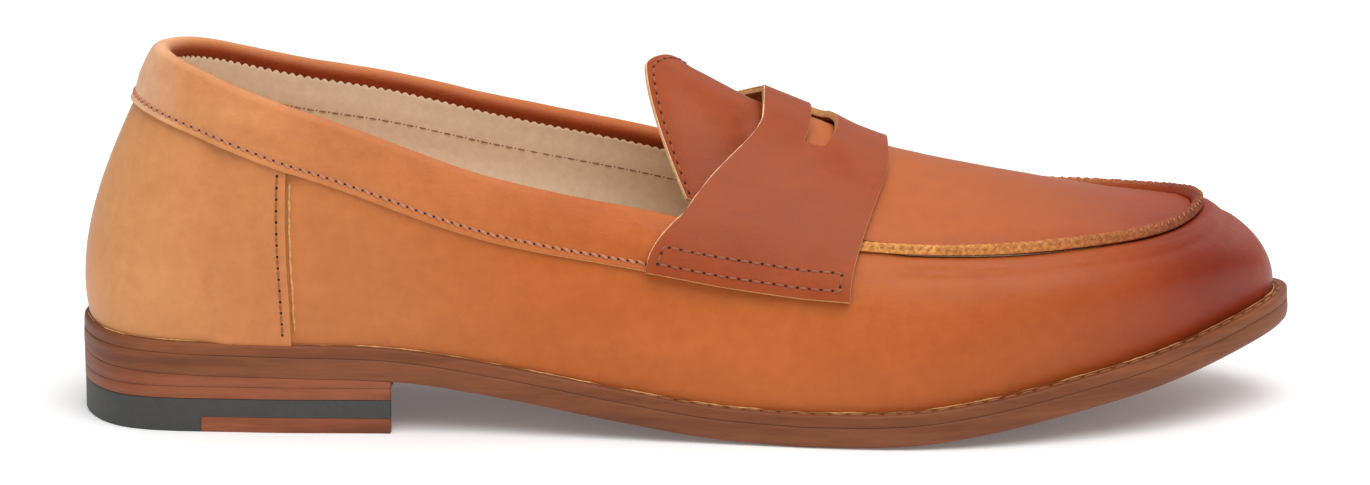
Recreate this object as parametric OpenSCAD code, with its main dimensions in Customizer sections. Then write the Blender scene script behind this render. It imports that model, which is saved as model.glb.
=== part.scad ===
// Penny loafer for the right foot: a moccasin-front leather slip-on with a
// saddle strap, a stacked leather heel and a leather sole.
// +X points to the toe, +Y to the inner (medial) side, +Z up.
// The shoe stands on z = 0, and its plan box is centred on the origin.

/* [Overall] */
// Length of the sole, heel to toe
shoe_length = 301; // [270:1:330]
// Width of the sole across the ball of the foot
ball_width = 101; // [90:1:115]
// Height of the sole's underside above the floor at the back of the heel
heel_height = 15.6; // [13:0.1:19]
// Height of the sole's underside above the floor at the toe tip
toe_spring = 20.8; // [12:0.1:26]
// Sideways swing of the toe tip towards the inner side
toe_swing = 6; // [3:0.5:9]

/* [Sole] */
// Thickness of the leather outsole
outsole_th = 5.2; // [4:0.1:7]
// Thickness of the leather rand between outsole and upper
rand_th = 3; // [2:0.1:4]
// How far the rand stands out past the upper at the toe
rand_ledge = 4; // [3:0.1:5.5]
// How far the rand stands out past the upper at the heel
heel_ledge = 1.7; // [1.3:0.1:2.5]
// Thickness of the leather insole
insole_th = 2.5; // [2:0.1:3.5]
// Thickness of the sock liner glued on the insole
sock_th = 0.8; // [0.5:0.1:1.2]
// Width of the upper's margin that is lasted under the insole
lasting_margin = 11; // [9:0.5:14]
// Width of the steel shank
shank_w = 12; // [10:0.5:14]
// Thickness of the steel shank
shank_th = 1.2; // [0.9:0.1:1.6]

/* [Heel] */
// Length of the heel block, from its back to its breast
heel_length = 78; // [65:1:90]
// Thickness of the rubber top piece, which meets the floor
top_piece_th = 8.4; // [7:0.1:9.5]
// Thickness of the leather insert let into the front of the top piece
insert_th = 3.8; // [2.5:0.1:4.8]
// Distance from the back of the heel to the leather insert
insert_start = 32; // [26:1:45]
// Thickness of the lower leather lift
lift_th = 3; // [2:0.1:3.4]
// Diameter of a heel nail
nail_d = 1.6; // [1.2:0.1:2.2]

/* [Upper] */
// Thickness of the vamp, counter and apron leather
leather_th = 1.2; // [1:0.1:1.6]
// Thickness of the collar leather
collar_th = 1.1; // [0.8:0.1:1.4]
// Thickness of the lining leather
lining_th = 0.7; // [0.5:0.1:1]
// Thickness of the heel stiffener and the toe puff
stiffener_th = 1; // [0.7:0.1:1.1]
// Width of the collar band below the topline
collar_w = 15.5; // [12:0.5:19]
// How far the collar is folded over inside the topline
fold_w = 6; // [4:0.5:8]
// How far the counter and vamp run up under the collar
underlay_w = 6; // [4:0.5:8]
// Distance from the back of the heel to the counter seams
counter_length = 53.8; // [42:0.2:62]
// Height of the raised seam between apron and vamp
ridge_h = 2.2; // [1.2:0.1:3]

/* [Strap and tongue] */
// Thickness of the saddle strap
strap_th = 1.5; // [1.2:0.1:2]
// Width of the strap where it crosses the instep
strap_w = 31; // [25:1:38]
// Width of the strap's flared end on each side
strap_end_w = 49; // [40:1:58]
// Length of the coin slot across the instep
slot_length = 31; // [22:1:36]
// Width of the coin slot along the shoe
slot_w = 6.5; // [5.5:0.5:9]
// Gap between the strap and the tongue under it
strap_gap = 1.3; // [1:0.1:1.8]
// Length of the free tongue behind the strap, along the instep
tongue_length = 28; // [18:1:32]

/* [Stitching] */
// Thickness of the sewing thread
thread_d = 0.6; // [0.4:0.1:0.8]
// Distance from one stitch to the next on the upper
stitch_pitch = 3.2; // [2.5:0.1:4.5]
// Thickness of the thread that sews the sole on
sole_thread_d = 1; // [0.8:0.1:1.4]

/* [Hidden] */
$fn = 24;

half_w = ball_width / 2;
sole_th = outsole_th + rand_th;
fit_gap = 0.1;        // between two pieces that lie on each other
past = 2;             // how far a cutting shape runs out past what it cuts
below = 20;           // how far a plan prism starts under the floor
tall = 160;           // height of a plan prism
dp = 0.004;           // small steps of p, v and x that give the surface's directions
dv = 0.01;
dx = 0.4;

// Sideways reach of the sole at nine stations from heel to toe, as a share of half_w.
sole_lateral = [0, -0.53, -0.65, -0.69, -0.86, -1, -0.75, -0.29];
sole_medial = [0, 0.53, 0.65, 0.62, 0.68, 0.97, 0.87, 0.54];
// The sole's underside: [share of the length, share of heel_height], then the same with toe_spring.
heel_profile = [[0, 1], [0.1, 0.91], [0.183, 0.88], [0.26, 0.83], [0.35, 0.59],
    [0.44, 0.3], [0.52, 0.075], [0.593, 0]];
toe_profile = [[0.593, 0], [0.677, 0.035], [0.74, 0.15], [0.807, 0.33], [0.877, 0.53],
    [0.933, 0.73], [1, 1]];
// Ledge of the rand past the upper at nine stations, from 0 at the heel to 1 at the toe.
ledge_share = [0, 0, 0.1, 0.15, 0.4, 0.8, 1, 1, 1];

// The upper's top edge: the topline, which runs on as the seam around the apron.
top_back = 20.5;                       // its rearmost point, from the back of the heel
top_front = shoe_length - 24;          // its foremost point, round the apron's front
top_lateral = [0, -0.36, -0.54, -0.6, -0.6, -0.7, -0.63, -0.33];
top_medial = [0, 0.36, 0.54, 0.6, 0.6, 0.68, 0.7, 0.5];
rise_lateral = [68.6, 66, 57, 46.3, 43.4, 38.7, 32.5, 28.2, 28];
rise_medial = [68.6, 66.8, 60, 54.6, 52, 41.8, 33.5, 28.6, 28];
// Handles of the wall's curve from the sole edge up to the top edge.
low_out = [5.5, 2, 2.5, 2, 3.5, 1];
low_up = [22, 20, 15, 12, 14, 9];
high_reach = [18.5, 18, 17, 16, 18, 15];
high_tilt = [66, 74, 66, 46, 30, 18];
// Crest of the instep above the sole's top: [share of the length, height].
crest_rise = [[0.46, 77.5], [0.5, 75.3], [0.553, 68.6], [0.613, 61.8], [0.665, 55.3],
    [0.693, 52.5], [0.743, 47], [0.793, 40.8], [0.833, 35.7], [0.873, 31.3], [0.91, 28.6],
    [0.93, 28.1]];

// Places along the shoe that more than one piece keeps to.
strap_x = 0.6113 * shoe_length;        // middle of the strap on the instep
strap_end_x = 0.55 * shoe_length;      // middle of the strap's flared ends
tongue_split = strap_x - strap_w / 2 + 5;   // where tongue and apron part, under the strap
collar_end = 0.525 * shoe_length;      // front end of the collar, under the strap
ridge_start = strap_x + strap_w / 2 - 3;    // where the raised seam starts, under the strap
seam_inset = 2;                        // stitch line to edge
thread_sink = 0.15;                    // share of the thread let into the leather

// ---------- curves ----------
function spline4(a, b, c, d, f) =
    b + 0.5 * f * (c - a + f * (2 * a - 5 * b + 4 * c - d + f * (3 * (b - c) + d - a)));
// Smooth curve through evenly spaced values, level at both ends.
function even(v, t) = let(n = len(v) - 1, s = min(max(t, 0), 1) * n, i = min(floor(s), n - 1))
    spline4(v[abs(i - 1)], v[i], v[i + 1], v[i + 2 > n ? 2 * n - i - 2 : i + 2], s - i);
// The same, but passing straight through its end values, as a curve across a centreline does.
function odd(v, t) = let(n = len(v) - 1, s = min(max(t, 0), 1) * n, i = min(floor(s), n - 1))
    spline4(i == 0 ? 2 * v[0] - v[1] : v[i - 1], v[i], v[i + 1],
        i == n - 1 ? 2 * v[n] - v[n - 1] : v[i + 2], s - i);
function slope(p, k) = let(n = len(p) - 1, a = p[max(k - 1, 0)], b = p[min(k + 1, n)])
    (b[1] - a[1]) / (b[0] - a[0]);
function seek(p, x, i = 0) = i < len(p) - 2 && x > p[i + 1][0] ? seek(p, x, i + 1) : i;
// Smooth curve through [x, value] points.
function curve(p, x) = let(i = seek(p, x), h = p[i + 1][0] - p[i][0],
    f = min(max((x - p[i][0]) / h, 0), 1), f2 = f * f, f3 = f2 * f)
    (2 * f3 - 3 * f2 + 1) * p[i][1] + (f3 - 2 * f2 + f) * slope(p, i) * h
    + (3 * f2 - 2 * f3) * p[i + 1][1] + (f3 - f2) * slope(p, i + 1) * h;
function smooth(f) = let(g = min(max(f, 0), 1)) g * g * (3 - 2 * g);
function mix(a, b, f) = a + (b - a) * f;
function unit(v) = v / norm(v);
function flat(grid) = [for (row = grid) each row];
function reversed(v) = [for (i = [len(v) - 1:-1:0]) v[i]];
function steps(a, b, n) = [for (i = [0:n]) a + (b - a) * i / n];

// ---------- sole ----------
// p runs round the shoe: 0 at the heel, 0 to 1 along the outer side, 1 at the toe, 1 to 2 back.
function wrap(p) = p < 0 ? p + 2 : p >= 2 ? p - 2 : p;
function side_t(p) = let(w = wrap(p)) w <= 1 ? w : 2 - w;
function is_outer(p) = wrap(p) <= 1;
function along(t) = (1 - cos(180 * t)) / 2;
function t_along(f) = acos(1 - 2 * min(max(f, 0), 1)) / 180;
function sole_bottom(x) = let(f = x / shoe_length)
    f < heel_profile[7][0] ? heel_height * curve(heel_profile, f)
                           : toe_spring * curve(toe_profile, f);
function seat(x) = sole_bottom(x) + sole_th;
function sole_edge(p) = let(t = side_t(p))
    [shoe_length * along(t),
     odd([for (y = is_outer(p) ? sole_lateral : sole_medial) y * half_w, toe_swing], t)];
function turn_right(v) = [v[1], -v[0]];
function edge_out(p) = unit(turn_right(sole_edge(p + dp) - sole_edge(p - dp)));
function inset_edge(p, inset) = sole_edge(p) - inset * edge_out(p);
function ledge(p) = mix(heel_ledge, rand_ledge, even(ledge_share, side_t(p)));
function outline(extra_inset, from_ledge = 0, n = 96) =
    [for (i = [0:n - 1]) let(p = 2 * i / n) inset_edge(p, extra_inset + from_ledge * ledge(p))];

// ---------- wall of the upper ----------
function feather(p) = let(e = inset_edge(p, ledge(p))) [e[0], e[1], seat(e[0])];
function top_x(t) = mix(top_back, top_front, along(t));
function top_t(x) = t_along((x - top_back) / (top_front - top_back));
function top_edge(p) = let(t = side_t(p), x = top_x(t), out = is_outer(p))
    [x, odd([for (y = out ? top_lateral : top_medial) y * half_w, toe_swing], t),
     seat(x) + even(out ? rise_lateral : rise_medial, t)];
// Point of the upper's outer face: v is 0 at the sole edge and 1 at the top edge.
function wall(p, v) = let(t = side_t(p), n2 = edge_out(p), n = [n2[0], n2[1], 0],
    a = feather(p), d = top_edge(p), tilt = even(high_tilt, t), reach = even(high_reach, t),
    b = a + n * even(low_out, t) + [0, 0, even(low_up, t)],
    c = d + reach * (n * cos(tilt) - [0, 0, sin(tilt)]), w = 1 - v)
    w * w * w * a + 3 * w * w * v * b + 3 * w * v * v * c + v * v * v * d;
function wall_up(p, v) = unit(wall(p, v + dv) - wall(p, v - dv));
function wall_out(p, v) = unit(cross(wall(p + dp, v) - wall(p - dp, v), wall_up(p, v)));
function skin(p, v, off) = wall(p, v) + off * wall_out(p, v);
// The v that lies a given distance below the top edge.
function drop_v(p, drop, lo = 0, hi = 1, n = 11) = n == 0 ? (lo + hi) / 2
    : let(m = (lo + hi) / 2) norm(wall(p, m) - top_edge(p)) > drop
        ? drop_v(p, drop, m, hi, n - 1) : drop_v(p, drop, lo, m, n - 1);
// The t at which the wall passes x at height v; the inner side's p is 2 - t.
function t_at(x, v) = mix(t_along(x / shoe_length), top_t(x), smooth(v));

// ---------- instep ----------
function crest_z(x) = seat(x) + curve(crest_rise, x / shoe_length);
// Point of the instep's outer face at x: q is 0 at the outer top edge and 1 at the inner one.
function arch(x, q) = let(t = top_t(x), a = top_edge(t), d = top_edge(2 - t),
    tilt = even(high_tilt, t),
    k = (crest_z(x) - (a[2] + d[2]) / 2) / (0.75 * sin(tilt)), w = 1 - q,
    b = a + k * [0, cos(tilt), sin(tilt)], c = d + k * [0, -cos(tilt), sin(tilt)])
    w * w * w * a + 3 * w * w * q * b + 3 * w * q * q * c + q * q * q * d;
function arch_out(x, q) = unit(cross(arch(x + dx, q) - arch(x - dx, q),
    arch(x, q + dv) - arch(x, q - dv)));
function roof(x, q, off) = arch(x, q) + off * arch_out(x, q);

// Place everything so that the plan box of the sole is centred.
edge_y = [for (i = [0:95]) sole_edge(i / 48)[1]];
centre = [shoe_length / 2, (max(edge_y) + min(edge_y)) / 2, 0];
module place() translate(-centre) children();

// ---------- solids from grids ----------
// A sheet between two equal grids of points, outer and inner, closed round its rim.
module shell(outer, inner) {
    rows = len(outer);
    cols = len(outer[0]);
    n = rows * cols;
    mid = [floor(rows / 2), floor(cols / 2)];
    a = outer[mid[0]][mid[1]];
    facing = cross(outer[mid[0]][mid[1] - 1] - a, outer[mid[0] - 1][mid[1]] - a)
        * (a - inner[mid[0]][mid[1]]);
    rim = concat([for (c = [0:cols - 2]) c], [for (r = [0:rows - 2]) r * cols + cols - 1],
        [for (c = [cols - 1:-1:1]) (rows - 1) * cols + c], [for (r = [rows - 1:-1:1]) r * cols]);
    m = len(rim);
    tris = concat(
        [for (r = [0:rows - 2], c = [0:cols - 2], k = [0:1]) let(i = r * cols + c)
            k == 0 ? [i, i + 1, i + cols] : [i + 1, i + cols + 1, i + cols]],
        [for (r = [0:rows - 2], c = [0:cols - 2], k = [0:1]) let(i = n + r * cols + c)
            k == 0 ? [i, i + cols, i + 1] : [i + 1, i + cols, i + cols + 1]],
        [for (j = [0:m - 1], k = [0:1]) let(a = rim[j], b = rim[(j + 1) % m])
            k == 0 ? [a, a + n, b] : [b, a + n, b + n]]);
    polyhedron(concat(flat(outer), flat(inner)),
        [for (f = tris) facing < 0 ? [f[0], f[1], f[2]] : [f[2], f[1], f[0]]], convexity = 8);
}

module prism() translate([0, 0, -below]) linear_extrude(tall) children();

// A slab of the sole: between two heights measured from the sole's top, inside an outline.
module sole_slab(low, high, plan, x0 = -past, x1 = shoe_length + past) {
    xs = steps(-past, shoe_length + past, 46);
    intersection() {
        prism() polygon(plan);
        translate([x0, -ball_width, -below]) cube([x1 - x0, 2 * ball_width, tall]);
        translate([0, 2 * ball_width, 0]) rotate([90, 0, 0]) linear_extrude(4 * ball_width)
            polygon(concat([for (x = xs) [x, seat(x) + low]],
                [for (i = [len(xs) - 1:-1:0]) [xs[i], seat(xs[i]) + high]]));
    }
}

// One straight stitch lying on the surface from a to b.
module stitch(a, b, d) {
    v = b - a;
    translate(a) rotate([0, acos(v[2] / norm(v)), atan2(v[1], v[0])])
        cylinder(h = norm(v), d = d, $fn = 16);
}

// Stitches along a run of points, each covering most of its pitch.
module stitch_run(pts, pitch = stitch_pitch, d = thread_d, cover = 0.72) {
    lengths = [for (i = [0:len(pts) - 2]) norm(pts[i + 1] - pts[i])];
    total = lengths * [for (l = lengths) 1];
    count = max(1, round(total / pitch));
    step = (len(pts) - 1) / count;
    for (k = [0:count - 1])
        stitch(at(pts, k * step), at(pts, (k + cover) * step), d);
}
function at(pts, s) = let(i = min(floor(s), len(pts) - 2)) mix(pts[i], pts[i + 1], s - i);

// ---------- sole unit ----------
// Layers under the insole: the upper's margin, then the lining's margin.
upper_margin_top = -rand_th + fit_gap + leather_th;
lining_margin_top = upper_margin_top + fit_gap + lining_th;
filler_low = -rand_th + fit_gap;
insole_low = lining_margin_top + fit_gap;
sock_low = insole_low + insole_th + fit_gap;
lining_out = -(leather_th + stiffener_th + 3 * fit_gap);   // depth of the lining's outer face
bend = 0.8;              // rounding of the upper where it turns in under the insole
insole_in = lining_th - lining_out + bend + fit_gap;
insole_back = 4;
insole_front = shoe_length - 6;
rand_trim = 0.3;         // how far the rand's edge is trimmed in from the outsole's
sock_trim = 1;           // how much smaller the sock liner is all round than the insole
filler_in = lasting_margin + 0.6;
filler_back = 8;
filler_front = shoe_length - 15;
filler_split = 6;        // room between the heel filler and the cork in front of it
shank_back = 0.17 * shoe_length;
shank_front = 0.56 * shoe_length;
shank_y = -2;            // the shank lies a little to the outer side

module outsole() color("saddlebrown") place()
    sole_slab(-sole_th, -rand_th, outline(0));

module rand() color("peru") place() difference() {
    sole_slab(-rand_th, 0, outline(rand_trim));
    prism() polygon(outline(-fit_gap, 1));
}

module insole() color("burlywood") place()
    sole_slab(insole_low, insole_low + insole_th, outline(insole_in, 1), insole_back, insole_front);

module sock_liner() color("tan") place()
    sole_slab(sock_low, sock_low + sock_th, outline(insole_in + sock_trim, 1), insole_back,
        insole_front);

module shank_plan(grow = 0) prism() translate([0, shank_y]) {
    for (x = [shank_back, shank_front])
        translate([x, 0]) circle(d = shank_w + 2 * grow, $fn = 32);
    translate([shank_back, -shank_w / 2 - grow])
        square([shank_front - shank_back, shank_w + 2 * grow]);
}

module cork_filler() color("sienna") place() difference() {
    sole_slab(filler_low, insole_low - fit_gap, outline(filler_in, 1),
        heel_length + filler_split, filler_front);
    shank_plan(fit_gap);
}

module heel_filler() color("sienna") place() difference() {
    sole_slab(filler_low, insole_low - fit_gap, outline(filler_in, 1), filler_back, heel_length);
    shank_plan(fit_gap);
}

module shank() color("silver") place() intersection() {
    sole_slab(filler_low, filler_low + shank_th, outline(0));
    shank_plan();
}

// ---------- heel ----------
lift_low = top_piece_th;
lift_high = lift_low + lift_th;
breast_bow = 2.5;     // how far the heel's breast curves in at its middle
insert_bow = 5;       // how far the insert's back edge curves
nail_places = [[0.12, -0.5], [0.12, 0.5], [0.3, -0.76], [0.3, 0.76], [0.5, -0.8], [0.5, 0.78],
    [0.7, -0.8], [0.7, 0.76], [0.88, -0.78], [0.88, 0.72], [0.9, -0.3], [0.9, 0.25]];
nail_half = 0.62 * half_w - 3;         // sideways reach of the outermost nails
nail_length = top_piece_th + lift_th - 1;
lift_trim = 0.2;         // each layer is trimmed in a little from the one above it
top_piece_trim = 0.3;

// Everything of the heel's plan that lies behind a line bowed by bow at x.
module heel_plan(x, bow, inset) intersection() {
    polygon(outline(inset));
    polygon(concat([[-past, -ball_width], [x, -ball_width]],
        [for (y = steps(-half_w, half_w, 16)) [x - bow * (1 - pow(y / half_w, 2)), y]],
        [[x, ball_width], [-past, ball_width]]));
}

module nail_holes(grow = 0) for (n = nail_places)
    translate([n[0] * heel_length, n[1] * nail_half, 0])
        cylinder(h = nail_length, d = nail_d + 2 * grow, $fn = 24);

module heel_lift_upper() color("sienna") place() intersection() {
    sole_slab(-sole_th - heel_height, -sole_th, outline(0));
    translate([0, 0, lift_high]) linear_extrude(heel_height) heel_plan(heel_length, breast_bow, 0);
}

module heel_lift_lower() color("saddlebrown") place() difference() {
    translate([0, 0, lift_low]) linear_extrude(lift_th)
        heel_plan(heel_length, breast_bow, lift_trim);
    nail_holes();
}

module top_piece() color("darkslategray") place() difference() {
    linear_extrude(top_piece_th) heel_plan(heel_length, breast_bow, top_piece_trim);
    translate([0, 0, -past]) linear_extrude(insert_th + past) difference() {
        translate([0, -ball_width]) square([2 * heel_length, 2 * ball_width]);
        heel_plan(insert_start, insert_bow, -past);
    }
    nail_holes();
}

module top_piece_insert() color("saddlebrown") place() difference() {
    linear_extrude(insert_th) difference() {
        heel_plan(heel_length, breast_bow, top_piece_trim);
        heel_plan(insert_start, insert_bow, -past);
    }
    nail_holes();
}

module heel_nails() color("goldenrod") place() nail_holes();

// ---------- upper ----------
lap_from = 0.86;     // share of the counter's reach at which the vamp's sides end under it
fold_in = 3.6;       // depth of the folded, padded collar behind the upper's outer face
roll_r = (fold_in + fit_gap + collar_th) / 2;
lap_gap = leather_th + fit_gap;
padding_drop = collar_w - underlay_w - 0.5;
lining_lap = 4.2;    // how far the lining's top edge laps over the collar's fold
lining_drop = roll_r + fold_w - lining_lap;
lap_v = 0.8;         // height on the wall where a lap's place is read
foot_rise = 1;       // height of the lasted margin's last row above the sole
wall_low = 0.04;     // v of the first row above the lasted margin
under_insole = wall_low + 0.01;   // v of the lower edge of stiffener and puff

function margin(p, in, z) = let(e = inset_edge(p, ledge(p) + in)) [e[0], e[1], seat(e[0]) + z];
// A wall piece's column: its lasted margin at height z, bent up into the face at depth out.
function foot(p, out, z) = [margin(p, lasting_margin, z), margin(p, bend - out, z),
    margin(p, -out, z + foot_rise / 2), margin(p, -out, max(z + foot_rise, -fit_gap / 2))];
function face(p, vs, out) = [for (v = vs) skin(p, v, out)];
outer_z = -rand_th + fit_gap;

// The counter lies on the vamp where the two are sewn together; c is 1 at its front edge.
counter_lift = lap_from - 0.12;   // c where it starts to rise onto the vamp
function counter_off(c) = lap_gap * smooth((abs(c) - counter_lift) / 0.1);
function counter_point(c, v, out) = let(p = c * t_at(counter_length, v))
    skin(p, v, out + counter_off(c));
module counter() {
    flat_c = counter_lift - 0.06;
    cs = concat(steps(-1, -counter_lift, 8), steps(-flat_c, flat_c, 16), steps(counter_lift, 1, 8));
    function column(c, out, z) = let(top = drop_v(c * t_at(counter_length, lap_v), padding_drop))
        concat(foot(c * t_at(counter_length, 0), out, z),
            [for (v = steps(wall_low, top, 10)) counter_point(c, v, out)]);
    color("sandybrown") place() shell([for (c = cs) column(c, 0, outer_z)],
        [for (c = cs) column(c, -leather_th, upper_margin_top)]);
}

// The vamp's upper edge: under the collar at the back, at the raised seam in front.
below_ridge = 0.97;    // v where the vamp starts to turn up into the raised seam
turn_up = 8;           // length over which it changes from one to the other
function vamp_top(x, p) =
    mix(drop_v(p, padding_drop), below_ridge, smooth((x - collar_end - 1) / turn_up));
function ridge_axis(p) = unit(wall_out(p, 1) + [0, 0, 0.4]);
function ridge_side(p) = let(n = ridge_axis(p), u = wall_up(p, 1)) unit(u - n * (u * n));
function ridge_at(p) = ridge_h * smooth((top_x(side_t(p)) - ridge_start) / turn_up);
// a is below 0 on the vamp's lap under the counter, and 0 to 1 from the seam to the toe.
function vamp_t(a, v) = let(seam = t_at(counter_length, v))
    a < 0 ? seam * (1 + a) : mix(1.02 * seam, 1, a);
module vamp() {
    lap = [lap_from - 1, (lap_from - 1) / 2, -0.004];
    main = concat(steps(0, 0.8, 20), steps(0.825, 1, 7));
    as = concat([for (a = lap) [a, 1]], [for (a = main) [a, 1]],
        [for (i = [len(main) - 2:-1:0]) [main[i], -1]], [for (i = [2:-1:0]) [lap[i], -1]]);
    function p_at(c, v) = c[1] > 0 ? vamp_t(c[0], v) : 2 - vamp_t(c[0], v);
    function column(c, out, z) = let(p1 = p_at(c, 1), x = top_x(side_t(p1)),
        top = vamp_top(x, p_at(c, lap_v)), r = ridge_at(p1), n = ridge_axis(p1),
        g = ridge_side(p1), e = wall(p1, 1) + (out == 0 ? -leather_th - fit_gap : -fit_gap) * g,
        raised = smooth((x - collar_end - turn_up - 1) / 4),
        low = c[0] < 0 ? 2 * wall_low : wall_low)
        concat(c[0] < 0 ? [for (v = steps(under_insole, 0.07, 3)) skin(p_at(c, v), v, out)]
                        : foot(p_at(c, 0), out, z),
            [for (v = steps(low, top, 9)) skin(p_at(c, v), v, out)],
            [mix(skin(p_at(c, top), top + 0.005, out), e + n * r, raised)]);
    color("chocolate") place() shell([for (c = as) column(c, 0, outer_z)],
        [for (c = as) column(c, -leather_th, upper_margin_top)]);
}

// The collar lies on the counter and the vamp, and rises over their lap.
lap_back = 19;         // the lap's reach behind the counter's front edge, seen at the topline
lap_front = 1.5;
function under_collar(x) = fit_gap + lap_gap * smooth((x - counter_length + lap_back) / 5)
    * (1 - smooth((x - counter_length - lap_front) / 6));
// Point of the collar's roll: depth is its distance inside the collar's outer face.
function roll(p, a, depth) = let(v = drop_v(p, roll_r), r = roll_r - depth)
    skin(p, v, roll_r - fold_in + r * cos(a)) + r * sin(a) * wall_up(p, v);
function collar_column(p, depth) = let(x = top_x(side_t(p)), low = drop_v(p, collar_w),
    high = drop_v(p, roll_r))
    concat([for (v = steps(low, high, 5))
            skin(p, v, mix(under_collar(x), fit_gap, smooth((v - low) / (high - low) * 2 - 0.9))
                + collar_th - depth)],
        [for (a = [36:36:180]) roll(p, a, depth)],
        [for (k = [0.5, 1]) skin(p, drop_v(p, roll_r + k * fold_w), depth - fold_in)]);
collar_t = top_t(collar_end);
collar_ps = steps(-collar_t, collar_t, 56);
module collar() {
    color("peru") place() shell([for (p = collar_ps) collar_column(p, 0)],
        [for (p = collar_ps) collar_column(p, collar_th)]);
}

module collar_padding() {
    d = collar_th + fit_gap;
    function column(p, side) = concat(
        [for (drop = steps(padding_drop - 0.5, roll_r, 3))
            skin(p, drop_v(p, drop), side == 0 ? 0 : d - fold_in)],
        [for (a = [25, 50, 75]) roll(p, side == 0 ? a : 180 - a, d)]);
    ps = [for (i = [1:len(collar_ps) - 2]) collar_ps[i]];
    color("khaki") place() shell([for (p = ps) column(p, 0)], [for (p = ps) column(p, 1)]);
}

// Depth of the lining's outer face: against the stiffener low down, behind the fold at the top.
lining_bend = 6;       // distance below the collar where the lining starts to lean in
function lining_at(p, v) = let(a = drop_v(p, collar_w + lining_bend), b = drop_v(p, padding_drop))
    mix(lining_out, -fold_in - fit_gap, smooth((v - a) / (b - a)));
lining_t = top_t(tongue_split + 5);
lining_step = 0.015;   // step of p past the collar's end
function lining_top(p) =
    drop_v(p, mix(lining_drop, 1, smooth((top_x(side_t(p)) - collar_end - 1) / 6)));
module quarter_lining() {
    ahead = steps(collar_t + lining_step, lining_t - lining_step, 3);
    ps = concat([-lining_t], -reversed(ahead), collar_ps, ahead, [lining_t]);
    function column(p, deep, z) = concat(foot(p, lining_out - deep, z),
        [for (v = steps(wall_low, lining_top(p), 9)) skin(p, v, lining_at(p, v) - deep)]);
    color("wheat") place() shell([for (p = ps) column(p, 0, upper_margin_top + fit_gap)],
        [for (p = ps) column(p, lining_th, lining_margin_top)]);
}

module heel_stiffener() {
    reach = t_along(0.27);
    ps = steps(-reach, reach, 26);
    out = -leather_th - fit_gap;
    function column(p, out) =
        [for (v = steps(under_insole, drop_v(p, collar_w + lining_bend + 1), 8)) skin(p, v, out)];
    color("burlywood") place() shell([for (p = ps) column(p, out)],
        [for (p = ps) column(p, out - stiffener_th)]);
}

// The toe puff and the lining behind it share their columns, so that they lie flat together.
puff_back = 0.84;      // t where the toe puff starts
front_step = 0.0131;   // step of t from one column to the next
front_ts = [for (t = [puff_back:front_step:0.998]) t];
front_vs = steps(under_insole, 1, 10);

module toe_puff() {
    ps = concat(front_ts, [for (t = reversed(front_ts)) 2 - t]);
    vs = [for (i = [0:len(front_vs) - 2]) front_vs[i]];
    out = -leather_th - 2 * fit_gap;
    color("burlywood") place() shell([for (p = ps) face(p, vs, out)],
        [for (p = ps) face(p, vs, out - stiffener_th)]);
}

// One section of the forefoot's lining, from sole to sole across the instep.
module vamp_lining() {
    ts = concat(steps(lining_t + lining_step / 8, puff_back - front_step, 9), front_ts);
    function side(p, out, z) = concat(foot(p, out, z), face(p, front_vs, out));
    function section(t, out, z) = concat(side(t, out, z),
        [for (q = steps(0.1, 0.9, 8)) roof(top_x(t), q, out)], reversed(side(2 - t, out, z)));
    color("linen") place() shell([for (t = ts) section(t, lining_out, upper_margin_top + fit_gap)],
        [for (t = ts) section(t, lining_out - lining_th, lining_margin_top)]);
}

apron_gap = 2;         // the apron's edge stops this far inside the middle of the raised seam
split_gap = 0.9;       // gap between the apron and the tongue
module apron() {
    ts = concat(steps(top_t(tongue_front + split_gap), 0.94, 20), [0.955, 0.968]);
    function row(t, off) = let(w = norm(top_edge(t) - top_edge(2 - t)), q = apron_gap / w)
        [for (k = steps(q, 1 - q, 16)) roof(top_x(t), k, off)];
    color("chocolate") place()
        shell([for (t = ts) row(t, 0)], [for (t = ts) row(t, -leather_th)]);
}

// ---------- tongue ----------
// f is 0 at the tongue's free end and 1 where it joins the apron; c runs across it, -1 to 1.
tongue_front = tongue_split + 0.6;
tongue_back = strap_x - strap_w / 2 - tongue_length;
tongue_skew = 0.2;     // how far the free end's rearmost point is set over to the outer side
near_bow = 16;         // roundness of the free end on the outer side of that point
far_bow = 15;          // and on the inner side
tongue_lift = 1;       // how far the free end bends up
tongue_half = 0.45;    // half of its width, as a share of the girth of the instep
root_half = 0.2;       // the same where it joins the apron
tongue_rest = 0.9;     // depth of its middle below the outer face of the instep
tongue_tuck = 3;       // how much deeper its sides lie, to pass inside the collar
function tongue_end(c) = let(m = c + tongue_skew)
    m < 0 ? near_bow * m * m : far_bow * sin(75 * (norm([m, 0.06]) - 0.06));
function tongue_point(f, c, off) = let(
    x = mix(tongue_back + tongue_end(c), tongue_front, f),
    lift = tongue_lift * pow(max(1 - 4 * f, 0), 2),
    half = mix(tongue_half, root_half, smooth((f - 0.4) * 2.2)))
    roof(x, 0.5 + half * c, off - tongue_rest + lift - tongue_tuck * smooth((1 - f) * 3) * c * c);
module tongue_layer(high, low, trim) {
    fs = concat([0, 0.03], steps(0.1, 1, 11));
    cs = steps(-1, 1, 15);
    function layer(off) = [for (f = fs) [for (c = cs)
        tongue_point(mix(trim, 1, f), c * (1 - 2 * trim), off)]];
    shell(layer(high), layer(low));
}
module tongue() color("sienna") place() tongue_layer(0, -leather_th, 0);
module tongue_lining() color("wheat") place()
    tongue_layer(-leather_th - fit_gap, -leather_th - fit_gap - lining_th, 0.01);

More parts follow.
